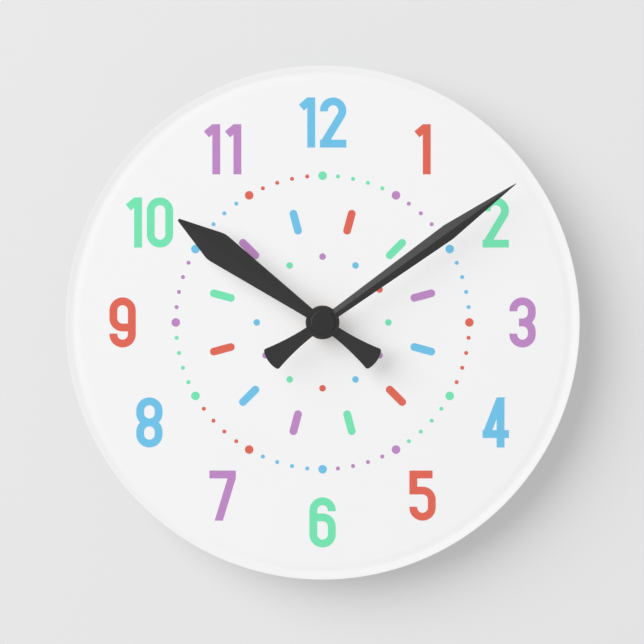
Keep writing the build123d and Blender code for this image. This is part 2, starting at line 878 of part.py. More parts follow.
# ---------------------------------------------------------------- plates and board
def make_mid_plate():
    """The plate between the motion work and the going train, with the pillars of the bridge."""
    outline = train_outline(-plate_edge_gap)
    holes = [(axis, minute_radius + running_gap), (knob_at, knob_shaft_radius + running_gap)]
    holes.append((minute_wheel_at, post_radius + pivot_gap))
    for arbor in (third_at, intermediate_at, rotor_at):
        holes.append((arbor, pivot_radius + pivot_gap))
    for pillar in plate_pillars:
        holes.append((pillar, plate_pin_radius + pivot_gap))
    for place, radius in holes:
        outline -= at(place, Circle(radius))
    left, right = coil_ends()
    coil_reach = coil_flange_radius + coil_gap
    outline -= rectangle(left - core_gap, right + core_gap, coil_z - coil_reach, coil_z + coil_reach)
    solid = slab(outline, plate_low, plate_top)
    for pillar in bridge_pillars:
        solid += disc(bridge_pillar_radius, bridge_top, plate_low, pillar)
        solid += disc(bridge_pin_radius, bridge_low, bridge_top, pillar)
    for pin in motor_pins:
        solid += disc(stator_leg_width / 2 - motor_post_inset, stator_top, plate_low, pin)
        solid += disc(bridge_pin_radius, core_low - pin_proud, stator_top, pin)
    return solid


def make_train_bridge():
    """The rear plate of the train, where the arbors' back pivots run."""
    first, second, third = bridge_pillars
    outline = offset(make_face(Polyline(first, rotor_at, second, third, close=True)), bridge_margin)
    for arbor in (third_at, intermediate_at, rotor_at):
        outline -= at(arbor, Circle(pivot_radius + pivot_gap))
    outline -= Circle(seconds_radius + pivot_gap)
    for pillar in bridge_pillars:
        outline -= at(pillar, Circle(bridge_pin_radius + pivot_gap))
    return slab(outline, bridge_low, bridge_top)


def make_circuit_board():
    left = -inner_right + board_edge_gap
    bottom = train_bottom + board_edge_gap
    outline = make_face(
        Polyline(
            (left, bottom),
            (left + board_arm_width, bottom),
            (left + board_arm_width, board_step),
            (board_right, board_step),
            (board_right, board_top),
            (left, board_top),
            close=True,
        )
    )
    return slab(outline, board_low, bridge_low)


def make_driver_chip():
    """The chip under its drop of black resin."""
    place = ((board_right + board_edge_gap - inner_right) / 2, (board_step + board_top) / 2)
    curve = TangentArc((0, board_low - chip_height), (chip_radius, board_low), tangent=(1, 0))
    profile = make_face(curve + Polyline(curve @ 1, (0, board_low), curve @ 0))
    return turned(profile, place)


def make_quartz_crystal():
    """The crystal in its round can, lying on the arm of the board."""
    x = -inner_right + board_edge_gap + board_arm_width / 2
    low = board_step - crystal_length
    can = Plane.XY.offset(low) * at((x, -(board_low - crystal_radius)), Circle(crystal_radius))
    return extrude(can, crystal_length)


# ---------------------------------------------------------------- motor
def coil_ends():
    """Where the bobbin begins and ends, between the two legs of the stator."""
    reach = stator_span / 2 - stator_leg_width - coil_gap
    return rotor_at[0] - reach, rotor_at[0] + reach


def make_stator():
    """The steel plate that takes the coil's field round the rotor's magnet."""
    x, z = rotor_at
    half_bar = stator_bar_width / 2
    hole = magnet_radius + rotor_air
    outline = rectangle(x - stator_span / 2, x + stator_span / 2, z - half_bar, z + half_bar)
    outline += at(rotor_at, Circle(hole + stator_ring_width))
    leg_top = coil_z + stator_leg_width / 2
    for pin_x, pin_z in motor_pins:
        half_leg = stator_leg_width / 2
        outline += rectangle(pin_x - half_leg, pin_x + half_leg, z - half_bar, leg_top)
        outline -= at((pin_x, pin_z), Circle(bridge_pin_radius + pivot_gap))
    outline -= at(rotor_at, Circle(hole))
    for direction in (stator_notch_direction, stator_notch_direction + 180):
        outline -= at(polar(hole, direction, rotor_at), Circle(stator_notch_radius))
    return slab(outline, stator_low, stator_top)


def make_coil_core():
    outline = rectangle(
        rotor_at[0] - stator_span / 2,
        rotor_at[0] + stator_span / 2,
        coil_z - core_width / 2,
        coil_z + core_width / 2,
    )
    for pin in motor_pins:
        outline -= at(pin, Circle(bridge_pin_radius + pivot_gap))
    return slab(outline, core_low, stator_low)


def make_coil_bobbin():
    left, right = coil_ends()
    middle = (coil_z, coil_height)
    tunnel = at(middle, Rectangle(core_width + 2 * core_gap, stator_thickness + 2 * core_gap))
    tube = along_x(at(middle, Circle(coil_tube_radius)), left, right)
    for start in (left, right - coil_flange_thickness):
        tube += along_x(at(middle, Circle(coil_flange_radius)), start, start + coil_flange_thickness)
    return tube - along_x(tunnel, left, right)


def make_coil_winding():
    left, right = coil_ends()
    section = at((coil_z, coil_height), Circle(coil_radius) - Circle(coil_tube_radius))
    return along_x(section, left + coil_flange_thickness, right - coil_flange_thickness)


def make_rotor():
    """The rotor's arbor and pinion. The magnet is pressed on it."""
    low = intermediate_low - pinion_overhang
    high = intermediate_top + pinion_overhang
    solid = gear(rotor_teeth, train_module, low, high, rotor_turn, rotor_at)
    solid += disc(arbor_radius, high, magnet_top, rotor_at)
    return solid + disc(pivot_radius, pivot_low, pivot_top, rotor_at)


def make_rotor_magnet():
    return ring(magnet_radius, arbor_radius, magnet_low, magnet_top, rotor_at)


# ---------------------------------------------------------------- going train
def make_intermediate_wheel():
    high = seconds_top + pinion_overhang
    place, turn = intermediate_at, intermediate_turn
    hub = tip_radius(intermediate_pinion_teeth, train_module) + wheel_hub_margin
    low, top = intermediate_low, intermediate_top
    solid = wheel(intermediate_teeth, train_module, hub, small_wheel_arms, low, top, 0, place)
    solid += gear(intermediate_pinion_teeth, train_module, top, high, turn, place)
    return solid + disc(pivot_radius, pivot_low, pivot_top, intermediate_at)


def make_seconds_wheel():
    high = third_top + pinion_overhang
    hub = tip_radius(seconds_pinion_teeth, third_module) + wheel_hub_margin
    solid = wheel(seconds_teeth, train_module, hub, wheel_arms, seconds_low, seconds_top)
    solid += gear(seconds_pinion_teeth, third_module, seconds_top, high)
    return solid - disc(seconds_radius, seconds_low, high)


def make_seconds_arbor():
    return disc(seconds_radius, pivot_low, seconds_arbor_end)


def make_third_wheel():
    high = centre_top + pinion_overhang / 2
    hub = tip_radius(third_pinion_teeth, train_module) + wheel_hub_margin
    solid = wheel(third_teeth, third_module, hub, wheel_arms, third_low, third_top, third_turn, third_at)
    solid += gear(third_pinion_teeth, train_module, third_top, high, 0, third_at)
    solid += disc(arbor_radius, bridge_top + layer_gap, third_low, third_at)
    return solid + disc(pivot_radius, pivot_low, pivot_top, third_at)


def make_centre_wheel():
    """It turns the minute shaft by friction, so that the hands can be set."""
    hub = clutch_spring_radius + pivot_gap
    solid = wheel(centre_teeth, train_module, hub, wheel_arms, centre_low, centre_top, centre_turn)
    return solid - disc(friction_radius + pivot_gap, centre_low, centre_top)


def make_clutch_spring():
    """A spring washer with bent arms, on the minute shaft and under the centre wheel."""
    arms = Circle(friction_radius + clutch_arm_width / 2)
    for number in range(clutch_arms):
        arm = Pos(clutch_spring_radius / 2, 0) * Rectangle(clutch_spring_radius, clutch_arm_width)
        arms += Rot(0, 0, number * 360 / clutch_arms) * arm
    arms -= Circle(friction_radius)
    high = centre_low - pivot_gap
    return slab(arms, high - clutch_spring_sheet, high)


# ---------------------------------------------------------------- motion work
def make_minute_shaft():
    """The hollow shaft of the minute hand, with the cannon pinion cut on it."""
    low = centre_low - 2 * clutch_spring_sheet
    step = plate_low - pivot_gap
    pinion_low = minute_wheel_low - pinion_overhang / 2
    pinion_high = minute_wheel_top + pinion_overhang / 2
    solid = disc(friction_radius, low, step)
    solid += disc(minute_radius, step, minute_shaft_end)
    solid += gear(cannon_teeth, motion_module, pinion_low, pinion_high)
    return solid - disc(minute_bore, low, minute_shaft_end)


def make_minute_wheel():
    place, turn = minute_wheel_at, minute_wheel_turn
    hub = tip_radius(minute_pinion_teeth, hour_module) + wheel_hub_margin
    low, top = minute_wheel_low, minute_wheel_top
    solid = wheel(minute_wheel_teeth, motion_module, hub, small_wheel_arms, low, top, turn, place)
    solid += gear(minute_pinion_teeth, hour_module, top, hour_wheel_top, 0, place)
    return solid - disc(post_radius + pivot_gap, low, hour_wheel_top, place)


def make_hour_wheel():
    """The wheel and the tube that carries the hour hand."""
    solid = gear(hour_teeth, hour_module, hour_wheel_low, hour_wheel_top, hour_turn)
    solid += disc(hour_radius, hour_wheel_top, hour_tube_end)
    return solid - disc(hour_bore, hour_wheel_low, hour_tube_end)


pieces = {
    "dial_disc": make_dial_disc,
    "dial_print": make_dial_print,
    "rubber_washer": make_rubber_washer,
    "brass_washer": make_brass_washer,
    "hex_nut": make_hex_nut,
    "threaded_bushing": make_threaded_bushing,
    "wall_hanger": make_wall_hanger,
    "hour_hand": make_hour_hand,
    "hour_hand_collet": make_hour_hand_collet,
    "minute_hand": make_minute_hand,
    "minute_hand_collet": make_minute_hand_collet,
    "centre_cap": make_centre_cap,
    "front_housing": make_front_housing,
    "back_cover": make_back_cover,
    "setting_knob": make_setting_knob,
    "aa_cell": make_aa_cell,
    "positive_contact": make_positive_contact,
    "negative_contact": make_negative_contact,
    "mid_plate": make_mid_plate,
    "train_bridge": make_train_bridge,
    "circuit_board": make_circuit_board,
    "driver_chip": make_driver_chip,
    "quartz_crystal": make_quartz_crystal,
    "stator": make_stator,
    "coil_core": make_coil_core,
    "coil_bobbin": make_coil_bobbin,
    "coil_winding": make_coil_winding,
    "rotor": make_rotor,
    "rotor_magnet": make_rotor_magnet,
    "intermediate_wheel": make_intermediate_wheel,
    "seconds_wheel": make_seconds_wheel,
    "seconds_arbor": make_seconds_arbor,
    "third_wheel": make_third_wheel,
    "centre_wheel": make_centre_wheel,
    "clutch_spring": make_clutch_spring,
    "minute_shaft": make_minute_shaft,
    "minute_wheel": make_minute_wheel,
    "hour_wheel": make_hour_wheel,
}

for name, make_piece in pieces.items():
    export_step(make_piece(), f"parts/{name}.step")

print(f"case {2 * case_right:.2f} wide, {case_bottom:.2f} to {case_top:.2f} high, {case_depth:.2f} deep")
print(f"nail hole at z {nail_z:.3f}, clock {cap_top:.2f} deep in all")
for label, place in (
    ("third", third_at),
    ("intermediate", intermediate_at),
    ("rotor", rotor_at),
    ("minute wheel", minute_wheel_at),
    ("knob", knob_at),
):
    print(f"{label} arbor at x {place[0]:.4f}, z {place[1]:.4f}")
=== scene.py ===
# %% [markdown]
# # A round acrylic wall clock
#
# This lesson dresses a wall clock. The clock is a clear acrylic disc with ink on its back, two
# folded aluminium hands, and a small quartz movement behind it. The frame that is loaded here
# holds every rigid part at its real size and place, so each new piece takes its sizes from it.

# %% Load the frame
import json
from math import atan2, cos, degrees, pi, radians, sin

import bpy
from mathutils import Matrix, Vector


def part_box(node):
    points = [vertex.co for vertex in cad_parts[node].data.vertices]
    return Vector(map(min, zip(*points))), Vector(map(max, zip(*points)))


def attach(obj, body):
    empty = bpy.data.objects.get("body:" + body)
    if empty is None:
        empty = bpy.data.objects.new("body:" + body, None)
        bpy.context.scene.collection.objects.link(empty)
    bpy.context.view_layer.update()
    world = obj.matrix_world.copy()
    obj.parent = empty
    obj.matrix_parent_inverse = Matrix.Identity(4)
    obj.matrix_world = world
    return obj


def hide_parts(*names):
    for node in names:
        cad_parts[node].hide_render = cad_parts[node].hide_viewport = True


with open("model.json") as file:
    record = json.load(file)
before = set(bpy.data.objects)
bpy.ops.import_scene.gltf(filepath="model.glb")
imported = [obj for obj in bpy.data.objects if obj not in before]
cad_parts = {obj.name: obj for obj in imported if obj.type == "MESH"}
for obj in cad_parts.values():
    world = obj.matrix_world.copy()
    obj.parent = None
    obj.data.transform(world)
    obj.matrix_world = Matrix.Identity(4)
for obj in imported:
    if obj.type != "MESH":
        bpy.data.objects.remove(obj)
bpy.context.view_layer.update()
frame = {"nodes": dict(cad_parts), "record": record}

nodes = frame["nodes"]
mm = 0.001
print("the frame holds", len(nodes), "rigid parts")

# %% [markdown]
# ## Lengths read from the frame
#
# The dial faces -Y, so a bigger height above the wall is a smaller y. The clear disc and the
# ink behind it come from the boxes of the rigid parts. A box doesn't show a bore, so its radius
# is written here: it clears the 8 mm thread in the middle by 0.2 mm all round.

# %% Measure the dial
disc_low, disc_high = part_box("dial_disc")
ink_low, ink_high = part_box("dial_print")
dial_radius = (disc_high.x - disc_low.x) / 2
dial_front, dial_back = disc_low.y, disc_high.y
ink_radius = (ink_high.x - ink_low.x) / 2
ink_back = ink_high.y
bore_radius = 4.2 * mm
print(f"dial {2 * dial_radius / mm:.1f} mm across, {(dial_back - dial_front) / mm:.1f} mm thick")

# %% [markdown]
# ## Helpers for modelling by hand
#
# An operator acts on everything that is selected. These helpers start each step with a clean
# selection, pick faces and edges by where they are, and end a piece with its place in its mesh.

# %% Select and finish pieces
def deselect():
    bpy.ops.object.select_all(action="DESELECT")


def pick(piece):
    """Makes the piece the only selected and active object."""
    deselect()
    piece.select_set(True)
    bpy.context.view_layer.objects.active = piece


def select_parts(piece, kind, wanted):
    """In edit mode, selects the vertices, edges or faces that wanted() says yes to."""
    bpy.ops.object.mode_set(mode="EDIT")
    bpy.ops.mesh.select_mode(type=kind)
    bpy.ops.mesh.select_all(action="DESELECT")
    bpy.ops.object.mode_set(mode="OBJECT")
    mesh = piece.data
    parts = {"VERT": mesh.vertices, "EDGE": mesh.edges, "FACE": mesh.polygons}[kind]
    for part in parts:
        part.select = wanted(part, mesh)
    bpy.ops.object.mode_set(mode="EDIT")


def settle(piece, name):
    """Names the piece and moves its place, turn and size into its mesh."""
    pick(piece)
    bpy.ops.object.transform_apply(location=True, rotation=True, scale=True)
    piece.name = piece.data.name = name
    return piece


def smooth(piece, angle=30):
    pick(piece)
    bpy.ops.object.shade_smooth_by_angle(angle=radians(angle))


def modify(piece, kind, **settings):
    """Adds a modifier, sets it and applies it."""
    pick(piece)
    modifier = piece.modifiers.new(kind.lower(), kind)
    for key, value in settings.items():
        setattr(modifier, key, value)
    bpy.ops.object.modifier_apply(modifier=modifier.name)


# %% A ring of constant section
def ring_piece(name, outer, inner, front, back, sides=360):
    """A flat ring: a round plate whose two flats are inset to the bore and bridged through."""
    deselect()
    bpy.ops.mesh.primitive_cylinder_add(
        vertices=sides,
        radius=outer,
        depth=back - front,
        location=(0, (front + back) / 2, 0),
        rotation=(pi / 2, 0, 0),
    )
    piece = settle(bpy.context.object, name)
    select_parts(piece, "FACE", lambda face, mesh: abs(face.normal.y) > 0.999)
    bpy.ops.mesh.inset(thickness=outer - inner)
    bpy.ops.mesh.bridge_edge_loops()
    bpy.ops.mesh.select_all(action="SELECT")
    bpy.ops.mesh.normals_make_consistent(inside=False)
    bpy.ops.object.mode_set(mode="OBJECT")
    return piece


def hold_flats(piece, width):
    """Insets each flat of a ring, so that its smooth shading bends only in a narrow band."""
    for side in (-1, 1):
        def is_flat(face, mesh):
            return face.normal.y * side > 0.999

        select_parts(piece, "FACE", is_flat)
        bpy.ops.mesh.inset(thickness=width)
        bpy.ops.object.mode_set(mode="OBJECT")


# %% [markdown]
# ## The clear disc
#
# Real discs are cut from sheet, and the front edge is flame polished until it is round. A
# bevel gives a round of equal depth and width, but this one is 3.6 mm wide and only 3 mm deep.
# So the disc is made a little too thick, bevelled, and then squeezed along Y.

# %% Model the disc
edge_width = 3.6 * mm
edge_drop = 3.0 * mm
squeeze = edge_drop / edge_width
edge_steps = 14

disc = ring_piece("clear_disc", dial_radius, bore_radius, dial_front / squeeze, dial_back / squeeze)


def front_rim(edge, mesh):
    ends = [mesh.vertices[i].co for i in edge.vertices]
    return all(
        abs(end.y - dial_front / squeeze) < 1e-6 and Vector((end.x, end.z)).length > ink_radius
        for end in ends
    )


select_parts(disc, "EDGE", front_rim)
bpy.ops.mesh.bevel(offset=edge_width, segments=edge_steps, profile=0.5)
bpy.ops.object.mode_set(mode="OBJECT")
disc.scale.y = squeeze
settle(disc, "clear_disc")


def back_rim(edge, mesh):
    ends = [mesh.vertices[i].co for i in edge.vertices]
    return all(
        abs(end.y - dial_back) < 1e-6 and Vector((end.x, end.z)).length > ink_radius for end in ends
    )


select_parts(disc, "EDGE", back_rim)
bpy.ops.mesh.bevel(offset=0.5 * mm, segments=5, profile=0.5)
bpy.ops.object.mode_set(mode="OBJECT")
hold_flats(disc, 0.3 * mm)
smooth(disc, 40)
print("clear disc:", len(disc.data.polygons), "faces")

# %% [markdown]
# ## The ink
#
# The numerals are printed first, in mirror, on the back of the acrylic, and a white layer is
# printed over them. Seen from the front, the numerals therefore lie on top of the white. Here
# the white layer is a thin ring, and each numeral is a thin plate between it and the acrylic.

# %% Model the white layer
ink_step = 0.03 * mm
white_front = dial_back + 2 * ink_step
white_layer = ring_piece("white_ink", ink_radius, bore_radius, white_front, ink_back)
smooth(white_layer)
print(f"white layer: {(ink_back - white_front) / mm:.2f} mm thick")

# %% [markdown]
# The numerals are drawn as with a broad nib, in a narrow face whose strokes are all as wide.
# Blender's own font is too wide and light for it. A stroke is one edge, as long as the nib is
# wide, that is extruded for a straight run and spun for a turn. The drawing is made 1000 times
# too big, one unit to a millimetre, because booleans work best on shapes of about that size.

# %% Draw one stroke
turn_step = 7.5
nib = 3.1
side = 3.65
top = 8.35
end = top + nib / 2
bowl = top - side
waist = bowl - side
lip = 0.3


def stroke(start, heading, *moves, nib=nib):
    """Draws from a start in a heading: a number goes straight on, and a pair turns.

    A pair is the radius and the angle of a turn, and a positive angle turns to the left.
    """
    ahead = Vector((cos(radians(heading)), sin(radians(heading)), 0))
    spot = Vector((*start, 0))
    deselect()
    bpy.ops.mesh.primitive_plane_add(
        size=nib, location=spot - ahead * nib / 2, rotation=(0, 0, radians(heading))
    )
    piece = settle(bpy.context.object, "stroke")
    select_parts(piece, "VERT", lambda v, mesh: (v.co - spot).dot(ahead) < -nib / 2)
    bpy.ops.mesh.delete(type="VERT")
    bpy.ops.mesh.select_all(action="SELECT")
    for move in moves:
        if isinstance(move, tuple):
            radius, angle = move
            middle = spot + Vector((-ahead.y, ahead.x, 0)) * (radius if angle > 0 else -radius)
            steps = round(abs(angle) / turn_step)
            bpy.ops.mesh.spin(steps=steps, angle=-radians(angle), center=middle, axis=(0, 0, 1))
            bend = Matrix.Rotation(radians(angle), 3, "Z")
            spot = middle + bend @ (spot - middle)
            ahead = bend @ ahead
        else:
            bpy.ops.mesh.extrude_region_move(TRANSFORM_OT_translate={"value": ahead * move})
            spot = spot + ahead * move
    bpy.ops.mesh.select_all(action="SELECT")
    bpy.ops.mesh.remove_doubles(threshold=0.001)
    bpy.ops.mesh.extrude_region_move(TRANSFORM_OT_translate={"value": (0, 0, 1)})
    bpy.ops.mesh.select_all(action="SELECT")
    bpy.ops.mesh.normals_make_consistent(inside=False)
    bpy.ops.object.mode_set(mode="OBJECT")
    return piece


# %% The strokes of each digit
half_turn = (side, 180)
shoulder_five = 2.0
rise_five = bowl + shoulder_five - side
neck_lean = 2 * degrees(atan2(side, bowl + top))
slant_four = 68.5
bar_four = -4.6
digit_strokes = {
    0: [((side, 0), 90, bowl, half_turn, 2 * bowl, half_turn, bowl)],
    1: [((0.9, -end), 90, 2 * end), ((-3.0, 5.9), 40, 5.1)],
    2: [
        ((-side, bowl - lip), 90, lip, (side, -180 - neck_lean), bowl + top),
        ((-end + top - side, -top), 0, 2 * side + nib),
    ],
    3: [
        ((-side, bowl - lip), 90, lip, (side, -180), waist, (side, -90), 1.4),
        ((-1.4, 0), 0, 1.4, (side, -90), waist, (side, -180), lip),
    ],
    4: [
        ((1.9, -end), 90, 2 * end),
        ((-side - nib / 2, bar_four), 0, 2 * side + nib),
        ((-side, bar_four), slant_four, 2 * top),
    ],
    5: [
        ((side + lip, top), 180, 2 * side + lip + nib / 2),
        ((-side, end), 270, end - shoulder_five + nib / 2),
        ((-side, shoulder_five), 0, side, (side, -90), rise_five, (side, -180), lip),
    ],
    6: [
        ((side, bowl - lip), 90, lip, half_turn, 2 * bowl, half_turn),
        ((side, -bowl), 90, rise_five, (side, 90), side),
    ],
    7: [
        ((-side - nib / 2, top), 0, 2 * side + nib),
        ((side + 0.07, end - nib + 0.45), 253, 19),
    ],
    8: [
        ((side, bowl), 90, half_turn, waist, half_turn, waist),
        ((side, -bowl), 90, waist, half_turn, waist, half_turn),
    ],
}


def unite(strokes):
    drawn = strokes[0]
    for other in strokes[1:]:
        modify(drawn, "BOOLEAN", operation="UNION", solver="EXACT", object=other)
        bpy.data.objects.remove(other)
    return drawn


def draw_digit(digit):
    """Unites the strokes of a digit and trims it to its height. A nine is a six turned round."""
    drawn = unite([stroke(*moves) for moves in digit_strokes[6 if digit == 9 else digit]])
    for limit in (-end, end):
        select_parts(drawn, "VERT", lambda v, mesh: True)
        bpy.ops.mesh.bisect(
            plane_co=(0, limit, 0), plane_no=(0, limit, 0), use_fill=True, clear_outer=True
        )
        bpy.ops.object.mode_set(mode="OBJECT")
    if digit == 9:
        drawn.rotation_euler = (0, 0, pi)
    return settle(drawn, "digit")


# %% Set a drawing in the ink layer
numeral_circle = 79.0 * mm
digit_gap = 1.9


def lay_flat(piece, x, z):
    """Stands a piece drawn on the XY plane up to face the reader, in the ink layer."""
    piece.rotation_euler = (pi / 2, 0, 0)
    piece.location = (x, white_front - ink_step / 2, z)


def numeral(hour):
    """Sets the digits of an hour side by side and centres them on their place."""
    pen = 0
    drawn = []
    for digit in str(hour):
        piece = draw_digit(int(digit))
        left = min(v.co.x for v in piece.data.vertices)
        right = max(v.co.x for v in piece.data.vertices)
        piece.location.x = pen - left
        pen += right - left + digit_gap
        drawn.append(settle(piece, "digit"))
    pick(drawn[0])
    for piece in drawn:
        piece.select_set(True)
    bpy.ops.object.join()
    piece = drawn[0]
    piece.location = (-(pen - digit_gap) / 2, 0, -0.5)
    settle(piece, "numeral")
    piece.scale = (mm, mm, ink_step)
    turn = radians(30 * hour)
    lay_flat(piece, numeral_circle * sin(turn), numeral_circle * cos(turn))
    return piece


def dot(radius, circle, turn):
    deselect()
    bpy.ops.mesh.primitive_cylinder_add(vertices=32, radius=radius, depth=ink_step)
    piece = bpy.context.object
    lay_flat(piece, circle * sin(turn), circle * cos(turn))
    return piece


def bar(length, width, circle, turn):
    """A bar with round ends that points at the middle of the dial."""
    deselect()
    bpy.ops.mesh.primitive_cylinder_add(vertices=32, radius=width / 2, depth=ink_step)
    piece = bpy.context.object
    reach = (length - width) / 2
    for side in (-1, 1):
        select_parts(piece, "VERT", lambda v, mesh: v.co.y * side > 1e-6)
        bpy.ops.transform.translate(value=(0, side * reach, 0))
        bpy.ops.object.mode_set(mode="OBJECT")
    lay_flat(piece, circle * sin(turn), circle * cos(turn))
    piece.rotation_euler = (pi / 2, turn, 0)
    return piece


# %% [markdown]
# The dial has twelve numerals, a ring of minute dots with a big one at each hour, a ring of
# bars, and a ring of dots near the middle. Each ring goes through the four colours in turn, and
# starts with another one, so that neighbours differ. All the ink of one colour is one piece.

# %% Model the numerals and marks
ink_colours = ("blue", "coral", "mint", "violet")
ink_pieces = {colour: [] for colour in ink_colours}
minute_circle = 58.0 * mm
hour_dot_radius, minute_dot_radius = 1.7 * mm, 0.8 * mm
bar_circle = 41.0 * mm
bar_length, bar_width = 10.0 * mm, 3.1 * mm
inner_circle, inner_dot_radius = 26.0 * mm, 1.3 * mm


def ink_by_turns(step, piece):
    ink_pieces[ink_colours[step % len(ink_colours)]].append(piece)


for hour in range(1, 13):
    ink_by_turns(hour, numeral(hour))
for minute in range(60):
    size = minute_dot_radius if minute % 5 else hour_dot_radius
    ink_by_turns(minute // 5 + 2, dot(size, minute_circle, radians(6 * minute)))
for step in range(12):
    turn = radians(30 * step + 15)
    ink_by_turns(step + 1, bar(bar_length, bar_width, bar_circle, turn))
for step in range(12):
    ink_by_turns(step + 3, dot(inner_dot_radius, inner_circle, radians(30 * step)))

# %% Join the ink of each colour
numerals = {}
for colour, drawn in ink_pieces.items():
    for piece in drawn:
        settle(piece, "mark")
    pick(drawn[0])
    for piece in drawn:
        piece.select_set(True)
    bpy.ops.object.join()
    numerals[colour] = settle(drawn[0], "ink_" + colour)
    print(colour, "ink:", len(numerals[colour].data.polygons), "faces")

# %% [markdown]
# ## Signs moulded in the case
#
# The floor of the bay shows which way round the cell goes, and an arrow beside the knob shows
# which way it is turned. All three are drawn with a narrow nib. The plus and the minus stand a
# tenth of a millimetre proud, and the arrow two tenths. Their feet go a little into the wall,
# so that no gap shows under them.

# %% Model the plus, the minus and the arrow
cell_low, cell_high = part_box("aa_cell")
cell_axis = (cell_low + cell_high) / 2
knob_low, knob_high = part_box("setting_knob")
knob_axis = (knob_low + knob_high) / 2
bay_floor = -14.8 * mm
panel_floor = -0.3 * mm


def stand_proud(strokes, name, x, z, floor, height):
    """Stands a drawing on a floor that faces the wall, and sinks its foot by half its height."""
    piece = unite(strokes)
    piece.location.z = -0.5
    settle(piece, name)
    piece.scale = (mm, mm, 1.5 * height)
    piece.rotation_euler = (pi / 2, 0, 0)
    piece.location = (x, floor + height / 4, z)
    return settle(piece, name)


sign_nib = 1.1
sign_arm = 5.0
sign_inset = 7.0 * mm
sign_height = 0.1 * mm
minus = [stroke((-sign_arm / 2, 0), 0, sign_arm, nib=sign_nib)]
plus = [
    stroke((-sign_arm / 2, 0), 0, sign_arm, nib=sign_nib),
    stroke((0, -sign_arm / 2), 90, sign_arm, nib=sign_nib),
]

arrow_nib = 0.8
arrow_circle = 9.2
arrow_height = 0.2 * mm
tail_turn, head_turn = 150, 55
barb_length = 2.6


def on_arrow(turn):
    return (arrow_circle * cos(radians(turn)), arrow_circle * sin(radians(turn)))


arrow_sweep = (arrow_circle, head_turn - tail_turn)
arrow = [stroke(on_arrow(tail_turn), tail_turn - 90, arrow_sweep, nib=arrow_nib)]
for barb in (138, 214):
    heading = head_turn - 90 + barb
    arrow.append(stroke(on_arrow(head_turn), heading, barb_length, nib=arrow_nib))

plus_x, minus_x = cell_low.x + sign_inset, cell_high.x - sign_inset
signs = [
    stand_proud(plus, "plus_sign", plus_x, cell_axis.z, bay_floor, sign_height),
    stand_proud(minus, "minus_sign", minus_x, cell_axis.z, bay_floor, sign_height),
    stand_proud(arrow, "setting_arrow", knob_axis.x, knob_axis.z, panel_floor, arrow_height),
]
for piece in signs:
    print(piece.name, len(piece.data.polygons), "faces")

# %% [markdown]
# ## The cell
#
# An AA cell is a steel can in a printed sleeve. The sleeve is rolled over both ends, so a narrow
# lip stands round a bare metal face, and the plus end has a nub. The sleeve is a cylinder along
# X whose faces are inset and bridged into a tube. The can fills it, and its faces are inset and
# extruded in steps.

# %% Model the sleeve
cell_radius = (cell_high.z - cell_low.z) / 2
nub_length = 1.0 * mm
sleeve_low, sleeve_high = cell_low.x + nub_length, cell_high.x
lip_width = 0.95 * mm
lip_round = 0.55 * mm


def rod(name, radius, low, high, sides=96):
    """A cylinder along X on the axis of the cell."""
    deselect()
    bpy.ops.mesh.primitive_cylinder_add(
        vertices=sides,
        radius=radius,
        depth=high - low,
        location=((low + high) / 2, cell_axis.y, cell_axis.z),
        rotation=(0, pi / 2, 0),
    )
    return settle(bpy.context.object, name)


def from_axis(co):
    return Vector((co.y - cell_axis.y, co.z - cell_axis.z)).length


sleeve = rod("cell_sleeve", cell_radius, sleeve_low, sleeve_high)
select_parts(sleeve, "FACE", lambda face, mesh: abs(face.normal.x) > 0.999)
bpy.ops.mesh.inset(thickness=lip_width)
bpy.ops.mesh.bridge_edge_loops()
bpy.ops.mesh.select_all(action="SELECT")
bpy.ops.mesh.normals_make_consistent(inside=False)
bpy.ops.object.mode_set(mode="OBJECT")


def sleeve_rim(edge, mesh):
    ends = [mesh.vertices[i].co for i in edge.vertices]
    return abs(ends[0].x - ends[1].x) < 1e-6 and min(from_axis(end) for end in ends) > 7 * mm


select_parts(sleeve, "EDGE", sleeve_rim)
bpy.ops.mesh.bevel(offset=lip_round, segments=5, profile=0.5)
bpy.ops.object.mode_set(mode="OBJECT")
smooth(sleeve)
modify(sleeve, "WEIGHTED_NORMAL", keep_sharp=True, weight=100)
print("cell sleeve:", len(sleeve.data.polygons), "faces")

# %% Model the can with its nub
can_overlap = 0.05 * mm
plus_sink, minus_sink = 0.3 * mm, 0.25 * mm
plus_rise, minus_rise = 0.15 * mm, 0.12 * mm
plus_radius, nub_radius, minus_radius = 4.3 * mm, 2.75 * mm, 4.6 * mm
can_radius = cell_radius - lip_width + can_overlap
can = rod("cell_can", can_radius, sleeve_low + plus_sink, sleeve_high - minus_sink)


def step_out(side, radius, rise):
    """Insets the flat at one end of the can to a radius, and pushes it out along X."""
    limit = max(side * v.co.x for v in can.data.vertices) - 1e-6
    rim = max(from_axis(v.co) for v in can.data.vertices if side * v.co.x > limit)

    def is_end(face, mesh):
        return side * face.normal.x > 0.999 and side * face.center.x > limit

    select_parts(can, "FACE", is_end)
    bpy.ops.mesh.inset(thickness=rim - radius)
    bpy.ops.mesh.extrude_region_move(TRANSFORM_OT_translate={"value": (side * rise, 0, 0)})
    bpy.ops.object.mode_set(mode="OBJECT")


step_out(-1, plus_radius, plus_rise)
step_out(-1, nub_radius, nub_length + plus_sink - plus_rise)
step_out(1, minus_radius, minus_rise)
modify(can, "BEVEL", width=0.12 * mm, segments=3, limit_method="ANGLE", angle_limit=radians(40))
smooth(can)
modify(can, "WEIGHTED_NORMAL", keep_sharp=True, weight=100)
print("cell can:", len(can.data.polygons), "faces")

